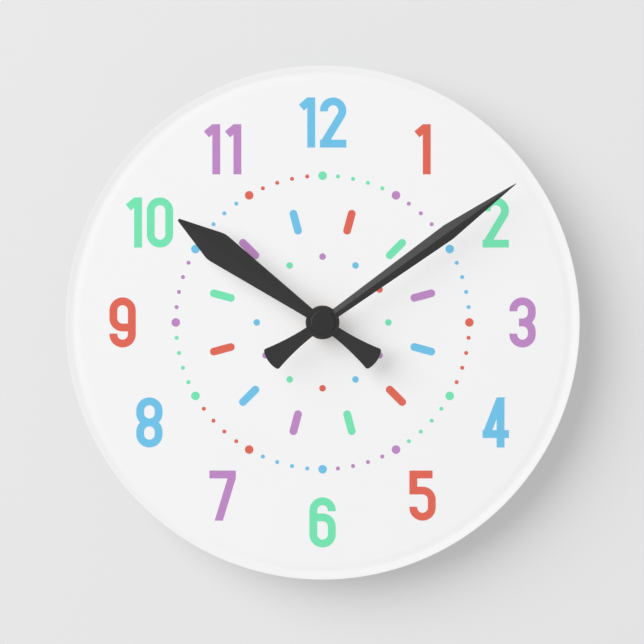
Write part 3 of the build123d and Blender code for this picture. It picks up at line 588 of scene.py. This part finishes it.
# %% [markdown]
# ## The threaded bushing
#
# The bushing is a brass tube with a flange at its foot and a fine thread, which the nut grips. A
# real thread winds like a screw. The Screw modifier could make one, but its two ends would have
# to be closed by hand, and with 14 turns of 0.74 mm nobody sees the winding. So rings of the
# same section are cut here. A plane stands for half of the tube cut open, its outer side is
# divided, and every second point is pulled in. Its outline is then spun once round the axis.

# %% Lay out the bushing's section
bushing_low, bushing_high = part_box("threaded_bushing")
bushing_bore = 2.63 * mm
crest_radius = 4.0 * mm
flange_thickness = 0.6 * mm
flange_front = bushing_high.y - flange_thickness
bushing_sides = 72
thread_depth = 0.4 * mm
thread_turns = 14
half_pitch = (flange_front - bushing_low.y) / (2 * thread_turns)

deselect()
bpy.ops.mesh.primitive_plane_add(size=1)
bushing = bpy.context.object
bushing.scale = (crest_radius - bushing_bore, bushing_high.y - bushing_low.y, 1)
bushing.location = ((crest_radius + bushing_bore) / 2, (bushing_high.y + bushing_low.y) / 2, 0)
settle(bushing, "bushing_turning")
print(f"thread: {thread_turns} turns of {2 * half_pitch / mm:.2f} mm")

# %% Cut the flange and the thread
def outer_side(low, high):
    """A test for the edges on the outer side between two places along Y."""
    def test(edge, mesh):
        ends = [mesh.vertices[i].co for i in edge.vertices]
        reach = 1e-6
        outside = all(spot.x > crest_radius - reach for spot in ends)
        return outside and all(low - reach < spot.y < high + reach for spot in ends)

    return test


select_parts(bushing, "FACE", lambda face, mesh: True)
bpy.ops.mesh.bisect(plane_co=(0, flange_front, 0), plane_no=(0, 1, 0))
bpy.ops.object.mode_set(mode="OBJECT")
select_parts(bushing, "EDGE", outer_side(flange_front, bushing_high.y))
flange_width = bushing_high.x - crest_radius
bpy.ops.mesh.extrude_region_move(TRANSFORM_OT_translate={"value": (flange_width, 0, 0)})
bpy.ops.object.mode_set(mode="OBJECT")
select_parts(bushing, "EDGE", outer_side(bushing_low.y, flange_front))
bpy.ops.mesh.subdivide(number_cuts=2 * thread_turns - 1)
bpy.ops.object.mode_set(mode="OBJECT")


def is_root(vertex, mesh):
    step = round((vertex.co.y - bushing_low.y) / half_pitch)
    return vertex.co.x > crest_radius - 1e-6 and vertex.co.y < flange_front and step % 2 == 0


select_parts(bushing, "VERT", is_root)
bpy.ops.transform.translate(value=(-thread_depth, 0, 0))
print(f"thread {thread_depth / mm:.1f} mm deep, flange {flange_width / mm:.1f} mm wide")

# %% Spin the outline of the section
bpy.ops.mesh.select_all(action="SELECT")
bpy.ops.mesh.dissolve_faces()
bpy.ops.mesh.select_all(action="SELECT")
bpy.ops.mesh.delete(type="ONLY_FACE")
bpy.ops.mesh.select_all(action="SELECT")
bpy.ops.mesh.spin(steps=bushing_sides, angle=2 * pi, center=(0, 0, 0), axis=(0, 1, 0))
bpy.ops.mesh.select_all(action="SELECT")
bpy.ops.mesh.remove_doubles(threshold=0.002 * mm)
bpy.ops.mesh.normals_make_consistent(inside=False)
bpy.ops.object.mode_set(mode="OBJECT")
smooth(bushing)
print("bushing:", len(bushing.data.polygons), "faces")

# %% [markdown]
# ## Edges that catch the light
#
# Nothing that is stamped, turned or moulded has a perfectly sharp edge. A rigid part from the
# frame does, so a copy of it takes its place: its loose triangles are merged, flat areas are
# dissolved into single faces, and a small bevel rounds what is left.

# %% Copy a rigid part with softened edges
def softened(node, name, width, steps=2, angle=35, shade_angle=35):
    """Copies a rigid part and bevels each edge that is sharper than the angle."""
    copy = nodes[node].copy()
    copy.data = nodes[node].data.copy()
    copy.data.materials.clear()
    bpy.context.scene.collection.objects.link(copy)
    copy.parent = None
    for key in list(copy.keys()):
        del copy[key]
    pick(copy)
    bpy.ops.object.mode_set(mode="EDIT")
    bpy.ops.mesh.select_all(action="SELECT")
    bpy.ops.mesh.remove_doubles(threshold=0.002 * mm)
    bpy.ops.mesh.dissolve_limited(angle_limit=radians(1))
    bpy.ops.object.mode_set(mode="OBJECT")
    limit = radians(angle)
    modify(copy, "BEVEL", width=width, segments=steps, limit_method="ANGLE", angle_limit=limit)
    smooth(copy, shade_angle)
    modify(copy, "WEIGHTED_NORMAL", keep_sharp=True, weight=100)
    return settle(copy, name)


soft_pieces = {
    "hour_hand": softened("hour_hand", "hour_hand_stamping", 0.06 * mm, shade_angle=4),
    "minute_hand": softened("minute_hand", "minute_hand_stamping", 0.06 * mm, shade_angle=4),
    "centre_cap": softened("centre_cap", "centre_cap_moulding", 0.15 * mm, steps=4),
    "hex_nut": softened("hex_nut", "hex_nut_turning", 0.1 * mm),
    "wall_hanger": softened("wall_hanger", "wall_hanger_stamping", 0.08 * mm),
    "front_housing": softened("front_housing", "front_housing_moulding", 0.15 * mm),
    "back_cover": softened("back_cover", "back_cover_moulding", 0.12 * mm),
    "setting_knob": softened("setting_knob", "setting_knob_moulding", 0.08 * mm),
}
for node, piece in soft_pieces.items():
    print(piece.name, len(piece.data.polygons), "faces")

# %% [markdown]
# ## Shared shader effects
#
# A moulded, painted or rubbed surface is never one flat value. This group gives a slow pattern
# and a fine one that change over the surface. Each material mixes them into its own colour,
# roughness and bump.

# %% The grain group
def new_group(name, inputs, outputs):
    group = bpy.data.node_groups.new(name, "ShaderNodeTree")
    for label, value in inputs:
        socket = group.interface.new_socket(label, in_out="INPUT", socket_type="NodeSocketFloat")
        socket.default_value = value
    for label in outputs:
        group.interface.new_socket(label, in_out="OUTPUT", socket_type="NodeSocketFloat")
    return group, group.nodes.new("NodeGroupInput"), group.nodes.new("NodeGroupOutput")


def build_grain():
    """Fine is a close speckle and Broad a slow drift, both from 0 to 1."""
    group, start, end = new_group(
        "surface_grain", (("Fine Scale", 2000.0), ("Broad Scale", 40.0), ("Stretch", 1.0)),
        ("Fine", "Broad"),
    )
    place = group.nodes.new("ShaderNodeTexCoord")
    stretch = group.nodes.new("ShaderNodeCombineXYZ")
    stretch.inputs["Y"].default_value = 1.0
    stretch.inputs["Z"].default_value = 1.0
    group.links.new(start.outputs["Stretch"], stretch.inputs["X"])
    mapped = group.nodes.new("ShaderNodeVectorMath")
    mapped.operation = "MULTIPLY"
    group.links.new(place.outputs["Object"], mapped.inputs[0])
    group.links.new(stretch.outputs["Vector"], mapped.inputs[1])
    for label, detail in (("Fine", 2.0), ("Broad", 3.0)):
        noise = group.nodes.new("ShaderNodeTexNoise")
        noise.inputs["Detail"].default_value = detail
        group.links.new(mapped.outputs["Vector"], noise.inputs["Vector"])
        group.links.new(start.outputs[label + " Scale"], noise.inputs["Scale"])
        group.links.new(noise.outputs["Fac"], end.inputs[label])
    return group


grain_group = build_grain()
print("grain group:", len(grain_group.nodes), "nodes")

# %% A material with grain in it
grain_low, grain_high = 0.3, 0.7


def finish(
    name, colour, second, rough, rough_second, metallic=0.0, fine=2000.0, broad=40.0,
    stretch=1.0, bump=0.02, coat=0.0, coat_rough=0.1, specular=0.5,
):
    """A Principled material whose colour and roughness drift between two values."""
    material = bpy.data.materials.new(name)
    material.use_nodes = True
    tree = material.node_tree
    shader = tree.nodes["Principled BSDF"]
    shader.inputs["Metallic"].default_value = metallic
    shader.inputs["Coat Weight"].default_value = coat
    shader.inputs["Coat Roughness"].default_value = coat_rough
    shader.inputs["Specular IOR Level"].default_value = specular
    grain = tree.nodes.new("ShaderNodeGroup")
    grain.node_tree = grain_group
    grain.inputs["Fine Scale"].default_value = fine
    grain.inputs["Broad Scale"].default_value = broad
    grain.inputs["Stretch"].default_value = stretch
    blend = tree.nodes.new("ShaderNodeMix")
    blend.data_type = "RGBA"
    blend.inputs["A"].default_value = (*colour, 1)
    blend.inputs["B"].default_value = (*second, 1)
    tree.links.new(grain.outputs["Broad"], blend.inputs["Factor"])
    tree.links.new(blend.outputs["Result"], shader.inputs["Base Color"])
    rough_range = tree.nodes.new("ShaderNodeMapRange")
    rough_range.inputs["From Min"].default_value = grain_low
    rough_range.inputs["From Max"].default_value = grain_high
    rough_range.inputs["To Min"].default_value = rough
    rough_range.inputs["To Max"].default_value = rough_second
    tree.links.new(grain.outputs["Fine"], rough_range.inputs["Value"])
    tree.links.new(rough_range.outputs["Result"], shader.inputs["Roughness"])
    relief = tree.nodes.new("ShaderNodeBump")
    relief.name = "relief"
    relief.inputs["Strength"].default_value = 1.0
    relief.inputs["Distance"].default_value = bump * mm
    tree.links.new(grain.outputs["Fine"], relief.inputs["Height"])
    tree.links.new(relief.outputs["Normal"], shader.inputs["Normal"])
    return material


# %% [markdown]
# ## Acrylic
#
# Acrylic is clear, smooth and bends light. Lamps can't shine through such a shader, because
# light paths that bend on the way to a lamp are almost never found. So shadow rays and diffuse
# rays pass straight through, and what is printed behind the disc is lit as if by daylight. A ray
# that runs inside the sheet bounces until the renderer gives it up, which would draw a black
# line round the disc. So a ray that has bounced a few times passes straight through as well.

# %% The acrylic material
most_bounces = 4.5


def any_of(tree, *outputs):
    """Joins masks, and gives 1 where any one of them is 1."""
    joined = outputs[0]
    for other in outputs[1:]:
        either = tree.nodes.new("ShaderNodeMath")
        either.operation = "MAXIMUM"
        tree.links.new(joined, either.inputs[0])
        tree.links.new(other, either.inputs[1])
        joined = either.outputs["Value"]
    return joined


def clear_acrylic():
    material = bpy.data.materials.new("clear_acrylic")
    material.use_nodes = True
    tree = material.node_tree
    shader = tree.nodes["Principled BSDF"]
    shader.inputs["Base Color"].default_value = (1, 1, 1, 1)
    shader.inputs["Transmission Weight"].default_value = 1.0
    shader.inputs["IOR"].default_value = 1.49
    grain = tree.nodes.new("ShaderNodeGroup")
    grain.node_tree = grain_group
    grain.inputs["Fine Scale"].default_value = 900.0
    grain.inputs["Broad Scale"].default_value = 15.0
    rough = tree.nodes.new("ShaderNodeMapRange")
    rough.inputs["To Min"].default_value = 0.0
    rough.inputs["To Max"].default_value = 0.05
    tree.links.new(grain.outputs["Broad"], rough.inputs["Value"])
    tree.links.new(rough.outputs["Result"], shader.inputs["Roughness"])
    path = tree.nodes.new("ShaderNodeLightPath")
    caught = tree.nodes.new("ShaderNodeMath")
    caught.operation = "GREATER_THAN"
    caught.inputs[1].default_value = most_bounces
    tree.links.new(path.outputs["Ray Depth"], caught.inputs[0])
    shadow, diffuse = path.outputs["Is Shadow Ray"], path.outputs["Is Diffuse Ray"]
    passes = any_of(tree, shadow, diffuse, caught.outputs["Value"])
    straight = tree.nodes.new("ShaderNodeBsdfTransparent")
    mix = tree.nodes.new("ShaderNodeMixShader")
    tree.links.new(passes, mix.inputs["Fac"])
    tree.links.new(shader.outputs["BSDF"], mix.inputs[1])
    tree.links.new(straight.outputs["BSDF"], mix.inputs[2])
    tree.links.new(mix.outputs["Shader"], tree.nodes["Material Output"].inputs["Surface"])
    return material


acrylic = clear_acrylic()
print(acrylic.name, "has", len(acrylic.node_tree.nodes), "nodes")

# %% [markdown]
# ## Printed ink
#
# The ink is a matt film. It is seen through the acrylic, which has all the shine, so the ink
# itself has no specular. Near the edge, the polished rim bends what is seen of the white
# layer. Two slopes in its normal give the faint dark and light rings that this makes.

# %% Make the inks
white_print = finish(
    "white_print", (0.945, 0.945, 0.955), (0.96, 0.96, 0.97), 0.55, 0.65, fine=1500, bump=0.004,
    specular=0.0,
)


def add_ring_slopes(material, slopes):
    """Leans the surface over rings round the dial's axis: each slope is (start, end, height)."""
    tree = material.node_tree
    place = tree.nodes.new("ShaderNodeTexCoord")
    flat = tree.nodes.new("ShaderNodeVectorMath")
    flat.operation = "MULTIPLY"
    flat.inputs[1].default_value = (1, 0, 1)
    tree.links.new(place.outputs["Object"], flat.inputs[0])
    reach = tree.nodes.new("ShaderNodeVectorMath")
    reach.operation = "LENGTH"
    tree.links.new(flat.outputs["Vector"], reach.inputs[0])
    relief = tree.nodes["relief"]
    for start, end, height in slopes:
        ramp = tree.nodes.new("ShaderNodeMapRange")
        ramp.interpolation_type = "SMOOTHSTEP"
        ramp.inputs["From Min"].default_value = start
        ramp.inputs["From Max"].default_value = end
        ramp.inputs["To Max"].default_value = height
        tree.links.new(reach.outputs["Value"], ramp.inputs["Value"])
        lean = tree.nodes.new("ShaderNodeBump")
        lean.inputs["Strength"].default_value = 1.0
        lean.inputs["Distance"].default_value = 1.0
        tree.links.new(ramp.outputs["Result"], lean.inputs["Height"])
        for link in list(relief.inputs["Normal"].links):
            tree.links.new(link.from_socket, lean.inputs["Normal"])
        tree.links.new(lean.outputs["Normal"], relief.inputs["Normal"])


inner_slope = (95.4 * mm, 98.3 * mm, -0.14 * mm)
outer_slope = (98.2 * mm, 100.2 * mm, 0.23 * mm)
add_ring_slopes(white_print, (inner_slope, outer_slope))
ink_values = {
    "blue": (0.123, 0.531, 0.821),
    "coral": (0.757, 0.096, 0.047),
    "mint": (0.143, 0.790, 0.431),
    "violet": (0.505, 0.212, 0.545),
}
ink = {
    colour: finish(
        "ink_" + colour, value, tuple(min(1, 1.06 * part) for part in value), 0.5, 0.6,
        fine=1500, bump=0.004, specular=0.0,
    )
    for colour, value in ink_values.items()
}
print("inks:", ", ".join(ink))

# %% [markdown]
# ## Paint, plastic and rubber
#
# The colours are linear values. Black paint and plastic are never quite black: they start
# near one to three percent, and their roughness does most of the work. The hands are satin
# paint, the case has the fine spark texture of its mould, and the gears are acetal, which is
# smooth and a little waxy.

# %% Make the paint, the plastics and the rubber
hand_paint = finish(
    "charcoal_paint", (0.007, 0.007, 0.0075), (0.010, 0.010, 0.0105), 0.27, 0.32, fine=3000,
    broad=120, bump=0.0015, specular=0.52,
)
cap_plastic = finish(
    "cap_plastic", (0.010, 0.010, 0.011), (0.014, 0.014, 0.015), 0.28, 0.34, fine=4000,
    broad=200, bump=0.002, specular=0.4,
)
case_plastic = finish(
    "case_plastic", (0.020, 0.020, 0.021), (0.030, 0.030, 0.031), 0.45, 0.62, fine=5000,
    broad=90, bump=0.012,
)
knob_plastic = finish(
    "knob_plastic", (0.024, 0.024, 0.025), (0.034, 0.034, 0.035), 0.4, 0.55, fine=5000,
    broad=150, bump=0.006,
)
gear_plastic = finish(
    "gear_plastic", (0.72, 0.72, 0.68), (0.78, 0.78, 0.74), 0.35, 0.5, fine=3000, bump=0.003,
)
rubber = finish(
    "black_rubber", (0.022, 0.022, 0.022), (0.032, 0.032, 0.031), 0.75, 0.9, fine=2500, bump=0.01,
)
board = finish(
    "board_laminate", (0.19, 0.085, 0.025), (0.23, 0.11, 0.035), 0.5, 0.62,
    fine=1800, stretch=0.3, bump=0.006,
)
resin = finish(
    "chip_resin", (0.010, 0.010, 0.010), (0.014, 0.014, 0.014), 0.12, 0.25, fine=900, bump=0.01,
)
bobbin = finish(
    "bobbin_plastic", (0.015, 0.015, 0.016), (0.02, 0.02, 0.021), 0.45, 0.6, bump=0.004,
)
print("materials so far:", len(bpy.data.materials))

# %% [markdown]
# ## Metals
#
# A metal takes its colour from what it reflects, so its base colour is light and its roughness
# tells how it was made. Rolled strip has grain that runs along X, which is a noise stretched
# that way. Wound wire has a very fine one that runs across.

# %% Make the metals
brass = finish(
    "turned_brass", (0.80, 0.58, 0.25), (0.72, 0.50, 0.20), 0.22, 0.38, metallic=1.0,
    fine=1200, broad=150, bump=0.002,
)
zinc = finish(
    "zinc_plate", (0.60, 0.61, 0.63), (0.52, 0.53, 0.55), 0.28, 0.45, metallic=1.0,
    fine=700, broad=120, stretch=0.15, bump=0.002,
)
nickel = finish(
    "nickel_strip", (0.70, 0.69, 0.66), (0.62, 0.61, 0.58), 0.2, 0.34, metallic=1.0,
    fine=900, broad=200, stretch=0.2, bump=0.001,
)
can_steel = finish(
    "can_steel", (0.66, 0.66, 0.65), (0.60, 0.60, 0.59), 0.24, 0.3, metallic=1.0,
    fine=4000, broad=60, bump=0.0004,
)
soft_iron = finish(
    "soft_iron", (0.45, 0.45, 0.46), (0.38, 0.38, 0.39), 0.35, 0.5, metallic=1.0,
    fine=1500, bump=0.002,
)
copper = finish(
    "copper_wire", (0.70, 0.24, 0.08), (0.60, 0.19, 0.06), 0.25, 0.4, metallic=1.0,
    fine=9000, stretch=3.0, bump=0.02,
)
magnet = finish(
    "magnet", (0.09, 0.09, 0.10), (0.12, 0.12, 0.13), 0.5, 0.65, metallic=1.0, bump=0.004,
)
print("materials so far:", len(bpy.data.materials))

# %% [markdown]
# ## The cell's sleeve
#
# The sleeve is shrunk plastic film, printed and shiny. Its plain design is a dark body with a
# light band at the plus end and a white line between them. The band is not a piece: it is
# chosen by the place along X.

# %% Make the sleeve's print
band_length = 13.0 * mm
line_width = 0.8 * mm
sleeve_print = finish(
    "cell_sleeve", (0.012, 0.045, 0.16), (0.016, 0.055, 0.18), 0.25, 0.28,
    fine=3000, bump=0.001, coat=0.3,
)


def add_band(material, start, end, colour):
    """Prints a band of another colour between two places along X."""
    tree = material.node_tree
    shader = tree.nodes["Principled BSDF"]
    below = shader.inputs["Base Color"].links[0].from_socket
    place = tree.nodes.new("ShaderNodeTexCoord")
    parts = tree.nodes.new("ShaderNodeSeparateXYZ")
    tree.links.new(place.outputs["Object"], parts.inputs["Vector"])
    inside = tree.nodes.new("ShaderNodeMath")
    inside.operation = "COMPARE"
    inside.inputs[1].default_value = (start + end) / 2
    inside.inputs[2].default_value = (end - start) / 2
    tree.links.new(parts.outputs["X"], inside.inputs[0])
    band = tree.nodes.new("ShaderNodeMix")
    band.data_type = "RGBA"
    band.inputs["B"].default_value = (*colour, 1)
    tree.links.new(inside.outputs["Value"], band.inputs["Factor"])
    tree.links.new(below, band.inputs["A"])
    tree.links.new(band.outputs["Result"], shader.inputs["Base Color"])


band_end = sleeve_low + band_length
add_band(sleeve_print, sleeve_low - mm, band_end, (0.50, 0.51, 0.53))
add_band(sleeve_print, band_end, band_end + line_width, (0.85, 0.85, 0.86))
print("materials in all:", len(bpy.data.materials))

# %% [markdown]
# ## Dressing
#
# Each new piece rides on the body that carries it, so it moves when a joint moves. Where it
# stands for a rigid part, that part is hidden and the piece takes its place. All other rigid
# parts keep their own mesh and only get a material.

# %% Put a material on a piece
def wear(piece, material):
    """Makes a material the only one of a piece."""
    piece.data.materials.clear()
    piece.data.materials.append(material)


def paint_node(node, material):
    """Puts a material in each slot of a rigid part."""
    for slot in nodes[node].material_slots:
        slot.material = material


# %% Dress the disc and its ink
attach(disc, "root")
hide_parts("dial_disc")
wear(disc, acrylic)

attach(white_layer, "root")
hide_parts("dial_print")
wear(white_layer, white_print)
for colour, piece in numerals.items():
    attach(piece, "root")
    wear(piece, ink[colour])
print("dressed the disc, the white layer and", len(numerals), "inks")

# %% Dress the rigid parts and the softened copies
bodies = frame["record"]["behaviour"]["bodies"]
carrier = {part: body for body, parts in bodies.items() for part in parts}
slot_of = {part["node"]: part["material_slot"] for part in frame["record"]["subparts"]}
finish_of = {
    "black_rubber": rubber, "brass": brass, "zinc_steel": zinc, "black_hand": hand_paint,
    "black_case": case_plastic, "black_cap": cap_plastic, "white_gear": gear_plastic,
    "cell_jacket": sleeve_print, "contact_steel": nickel, "board_fibre": board,
    "chip_resin": resin, "crystal_can": nickel, "motor_steel": soft_iron,
    "bobbin_plastic": bobbin, "copper_wire": copper, "magnet": magnet,
    "arbor_steel": nickel, "clear_acrylic": acrylic, "white_print": white_print,
}
for node in nodes:
    paint_node(node, finish_of[slot_of[node]])
for node, piece in soft_pieces.items():
    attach(piece, carrier[node])
    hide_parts(node)
    wear(piece, knob_plastic if node == "setting_knob" else finish_of[slot_of[node]])
print("dressed", len(nodes), "rigid parts and", len(soft_pieces), "softened copies")

# %% Dress the signs, the cell and the bushing
for piece in signs:
    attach(piece, "root")
    wear(piece, case_plastic)
cell_pieces = ((sleeve, sleeve_print, "cell_jacket"), (can, can_steel, "contact_steel"))
for piece, material, slot in cell_pieces:
    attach(piece, "cell_body")
    wear(piece, material)
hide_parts("aa_cell")

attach(bushing, "root")
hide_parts("threaded_bushing")
wear(bushing, brass)
print("dressed", len(signs), "signs,", len(cell_pieces), "pieces of the cell and the bushing")

# %% [markdown]
# Light from a room comes from all sides. The long hands would leave a wide dim patch all along
# them on the dial, and the dial would leave one on the wall. In a bright room with pale walls
# these patches hardly show. So all three cast the shadow of the lamp, but let the soft light of
# the room pass.

# %% Let the room's light pass
for piece in (soft_pieces["hour_hand"], soft_pieces["minute_hand"], white_layer):
    piece.visible_diffuse = False
    print(piece.name, "lets the light of the room pass")

# %% [markdown]
# ## The wall and the floor
#
# The clock hangs on a pale wall. The wall is there only for the camera and for reflections, so
# that it never shades the back of the clock, and from behind it is clear.

# %% The paint of the stage
def seen_rays(tree):
    """A mask for the rays that see the stage: from the camera, mirrored or bent."""
    path = tree.nodes.new("ShaderNodeLightPath")
    kinds = ("Is Camera Ray", "Is Glossy Ray", "Is Transmission Ray")
    return any_of(tree, *[path.outputs[kind] for kind in kinds])


def stage_material(name, grey):
    """Pale matt paint that holds shadows."""
    material = bpy.data.materials.new(name)
    material.use_nodes = True
    tree = material.node_tree
    shader = tree.nodes["Principled BSDF"]
    shader.inputs["Base Color"].default_value = (grey, grey, grey, 1)
    shader.inputs["Roughness"].default_value = 0.9
    shader.inputs["Specular IOR Level"].default_value = 0.0
    seen = seen_rays(tree)
    side = tree.nodes.new("ShaderNodeNewGeometry")
    front = tree.nodes.new("ShaderNodeMath")
    front.operation = "SUBTRACT"
    front.inputs[0].default_value = 1.0
    tree.links.new(side.outputs["Backfacing"], front.inputs[1])
    both = tree.nodes.new("ShaderNodeMath")
    both.operation = "MULTIPLY"
    tree.links.new(seen, both.inputs[0])
    tree.links.new(front.outputs["Value"], both.inputs[1])
    gone = tree.nodes.new("ShaderNodeBsdfTransparent")
    mix = tree.nodes.new("ShaderNodeMixShader")
    tree.links.new(both.outputs["Value"], mix.inputs["Fac"])
    tree.links.new(gone.outputs["BSDF"], mix.inputs[1])
    tree.links.new(shader.outputs["BSDF"], mix.inputs[2])
    tree.links.new(mix.outputs["Shader"], tree.nodes["Material Output"].inputs["Surface"])
    return material


# %% Build the stage
stage_grey = 0.835
wall_size = 3.0
wall_gap = 0.4 * mm
floor_level = -0.45
deselect()
bpy.ops.mesh.primitive_plane_add(
    size=wall_size,
    location=(0, wall_gap, floor_level + wall_size / 2),
    rotation=(pi / 2, 0, 0),
)
wall = settle(bpy.context.object, "wall")
wear(wall, stage_material("wall_paint", stage_grey))
deselect()
bpy.ops.mesh.primitive_plane_add(
    size=wall_size, location=(0, wall_gap - wall_size / 2, floor_level)
)
floor = settle(bpy.context.object, "floor")
wear(floor, stage_material("floor_paint", stage_grey))
print(f"wall {wall_size:.0f} m wide, {wall_gap / mm:.1f} mm behind the clock")

# %% [markdown]
# ## Light
#
# One wide soft lamp stands high on the left, and the room gives the rest. Both together light a
# surface that faces the reader so that a colour looks about as it is written. A rear lamp does
# the same for the back. The front lamp is two lamps in one place, which light linking sets
# apart: neither reaches the clear disc, since it would only put a pale veil of glare on it, and
# the minute hand blocks only one of them, which keeps its shadow faint.

# %% Place the lamps
def softbox(name, direction, distance, size, power):
    """A round lamp that looks at the middle of the dial from a direction."""
    data = bpy.data.lights.new(name, "AREA")
    data.shape = "DISK"
    data.size = size
    data.energy = power
    lamp = bpy.data.objects.new(name, data)
    bpy.context.scene.collection.objects.link(lamp)
    lamp.location = Vector(direction).normalized() * distance
    lamp.rotation_euler = Vector(direction).to_track_quat("Z", "Y").to_euler()
    return lamp


lean = radians(48)
fall = radians(30)
key_share = 0.46
light_level = 1.04
key_distance = 4.0
key_direction = (-sin(lean) * cos(fall), -cos(lean), sin(lean) * sin(fall))
key_power = light_level * key_share * (pi * key_distance) ** 2 / cos(lean)
firm_share = 0.45
key_size, rear_size = 3.8, 3.3


def all_but(name, piece):
    """A collection for light linking that stands for every piece but one."""
    collection = bpy.data.collections.new(name)
    collection.objects.link(piece)
    collection.collection_objects[0].light_linking.link_state = "EXCLUDE"
    return collection


no_glare = all_but("all_but_the_disc", disc)
passed = all_but("all_but_the_minute_hand", soft_pieces["minute_hand"])
firm_power, mild_power = firm_share * key_power, (1 - firm_share) * key_power
firm_key = softbox("firm_key", key_direction, key_distance, key_size, firm_power)
firm_key.light_linking.receiver_collection = no_glare
mild_key = softbox("mild_key", key_direction, key_distance, key_size, mild_power)
mild_key.light_linking.receiver_collection = no_glare
mild_key.light_linking.blocker_collection = passed
rear_lean = radians(40)
rear_right, rear_up = 0.8 * sin(rear_lean), 0.6 * sin(rear_lean)
rear_power = key_share * (pi * key_distance) ** 2 / cos(rear_lean)
softbox("rear_fill", (rear_right, cos(rear_lean), rear_up), key_distance, rear_size, rear_power)
print(f"key {key_power:.1f} W, rear fill {rear_power:.1f} W")

# %% Light the room
backdrop_level = 0.80
world = bpy.data.worlds.new("room")
bpy.context.scene.world = world
world.use_nodes = True
room = world.node_tree
light = room.nodes["Background"]
light.inputs["Color"].default_value = (1, 1, 1, 1)
light.inputs["Strength"].default_value = light_level * (1 - key_share)
backdrop = room.nodes.new("ShaderNodeBackground")
backdrop.inputs["Color"].default_value = (1, 1, 1, 1)
backdrop.inputs["Strength"].default_value = backdrop_level
mix = room.nodes.new("ShaderNodeMixShader")
room.links.new(seen_rays(room), mix.inputs["Fac"])
room.links.new(light.outputs["Background"], mix.inputs[1])
room.links.new(backdrop.outputs["Background"], mix.inputs[2])
room.links.new(mix.outputs["Shader"], room.nodes["World Output"].inputs["Surface"])
print(f"room {light.inputs['Strength'].default_value:.2f}, backdrop {backdrop_level:.2f}")

# %% [markdown]
# ## Camera
#
# The camera looks straight at the dial through a long lens, so the disc is a true circle and
# the hands show no lean.

# %% Place the camera
picture_width = 644
disc_across = 514.36
disc_middle = (322.05, 321.93)
camera_distance = 2.0
widest = dial_front + edge_drop
view_width = 2 * dial_radius * picture_width / disc_across
camera_data = bpy.data.cameras.new("camera")
camera = bpy.data.objects.new("camera", camera_data)
bpy.context.scene.collection.objects.link(camera)
camera_data.sensor_width = 36.0
camera_data.lens = camera_data.sensor_width * camera_distance / view_width
pixel = view_width / picture_width
picture_middle = (picture_width - 1) / 2
offset_x = (picture_middle - disc_middle[0]) * pixel
offset_z = (disc_middle[1] - picture_middle) * pixel
camera.location = (offset_x, widest - camera_distance, offset_z)
camera.rotation_euler = (pi / 2, 0, 0)
bpy.context.scene.camera = camera
print(f"lens {camera_data.lens:.0f} mm at {camera_distance:.0f} m")

# %% [markdown]
# ## The view transform
#
# The picture uses Blender's Standard view transform.

# %% Finish
bpy.context.scene.view_settings.view_transform = "Standard"
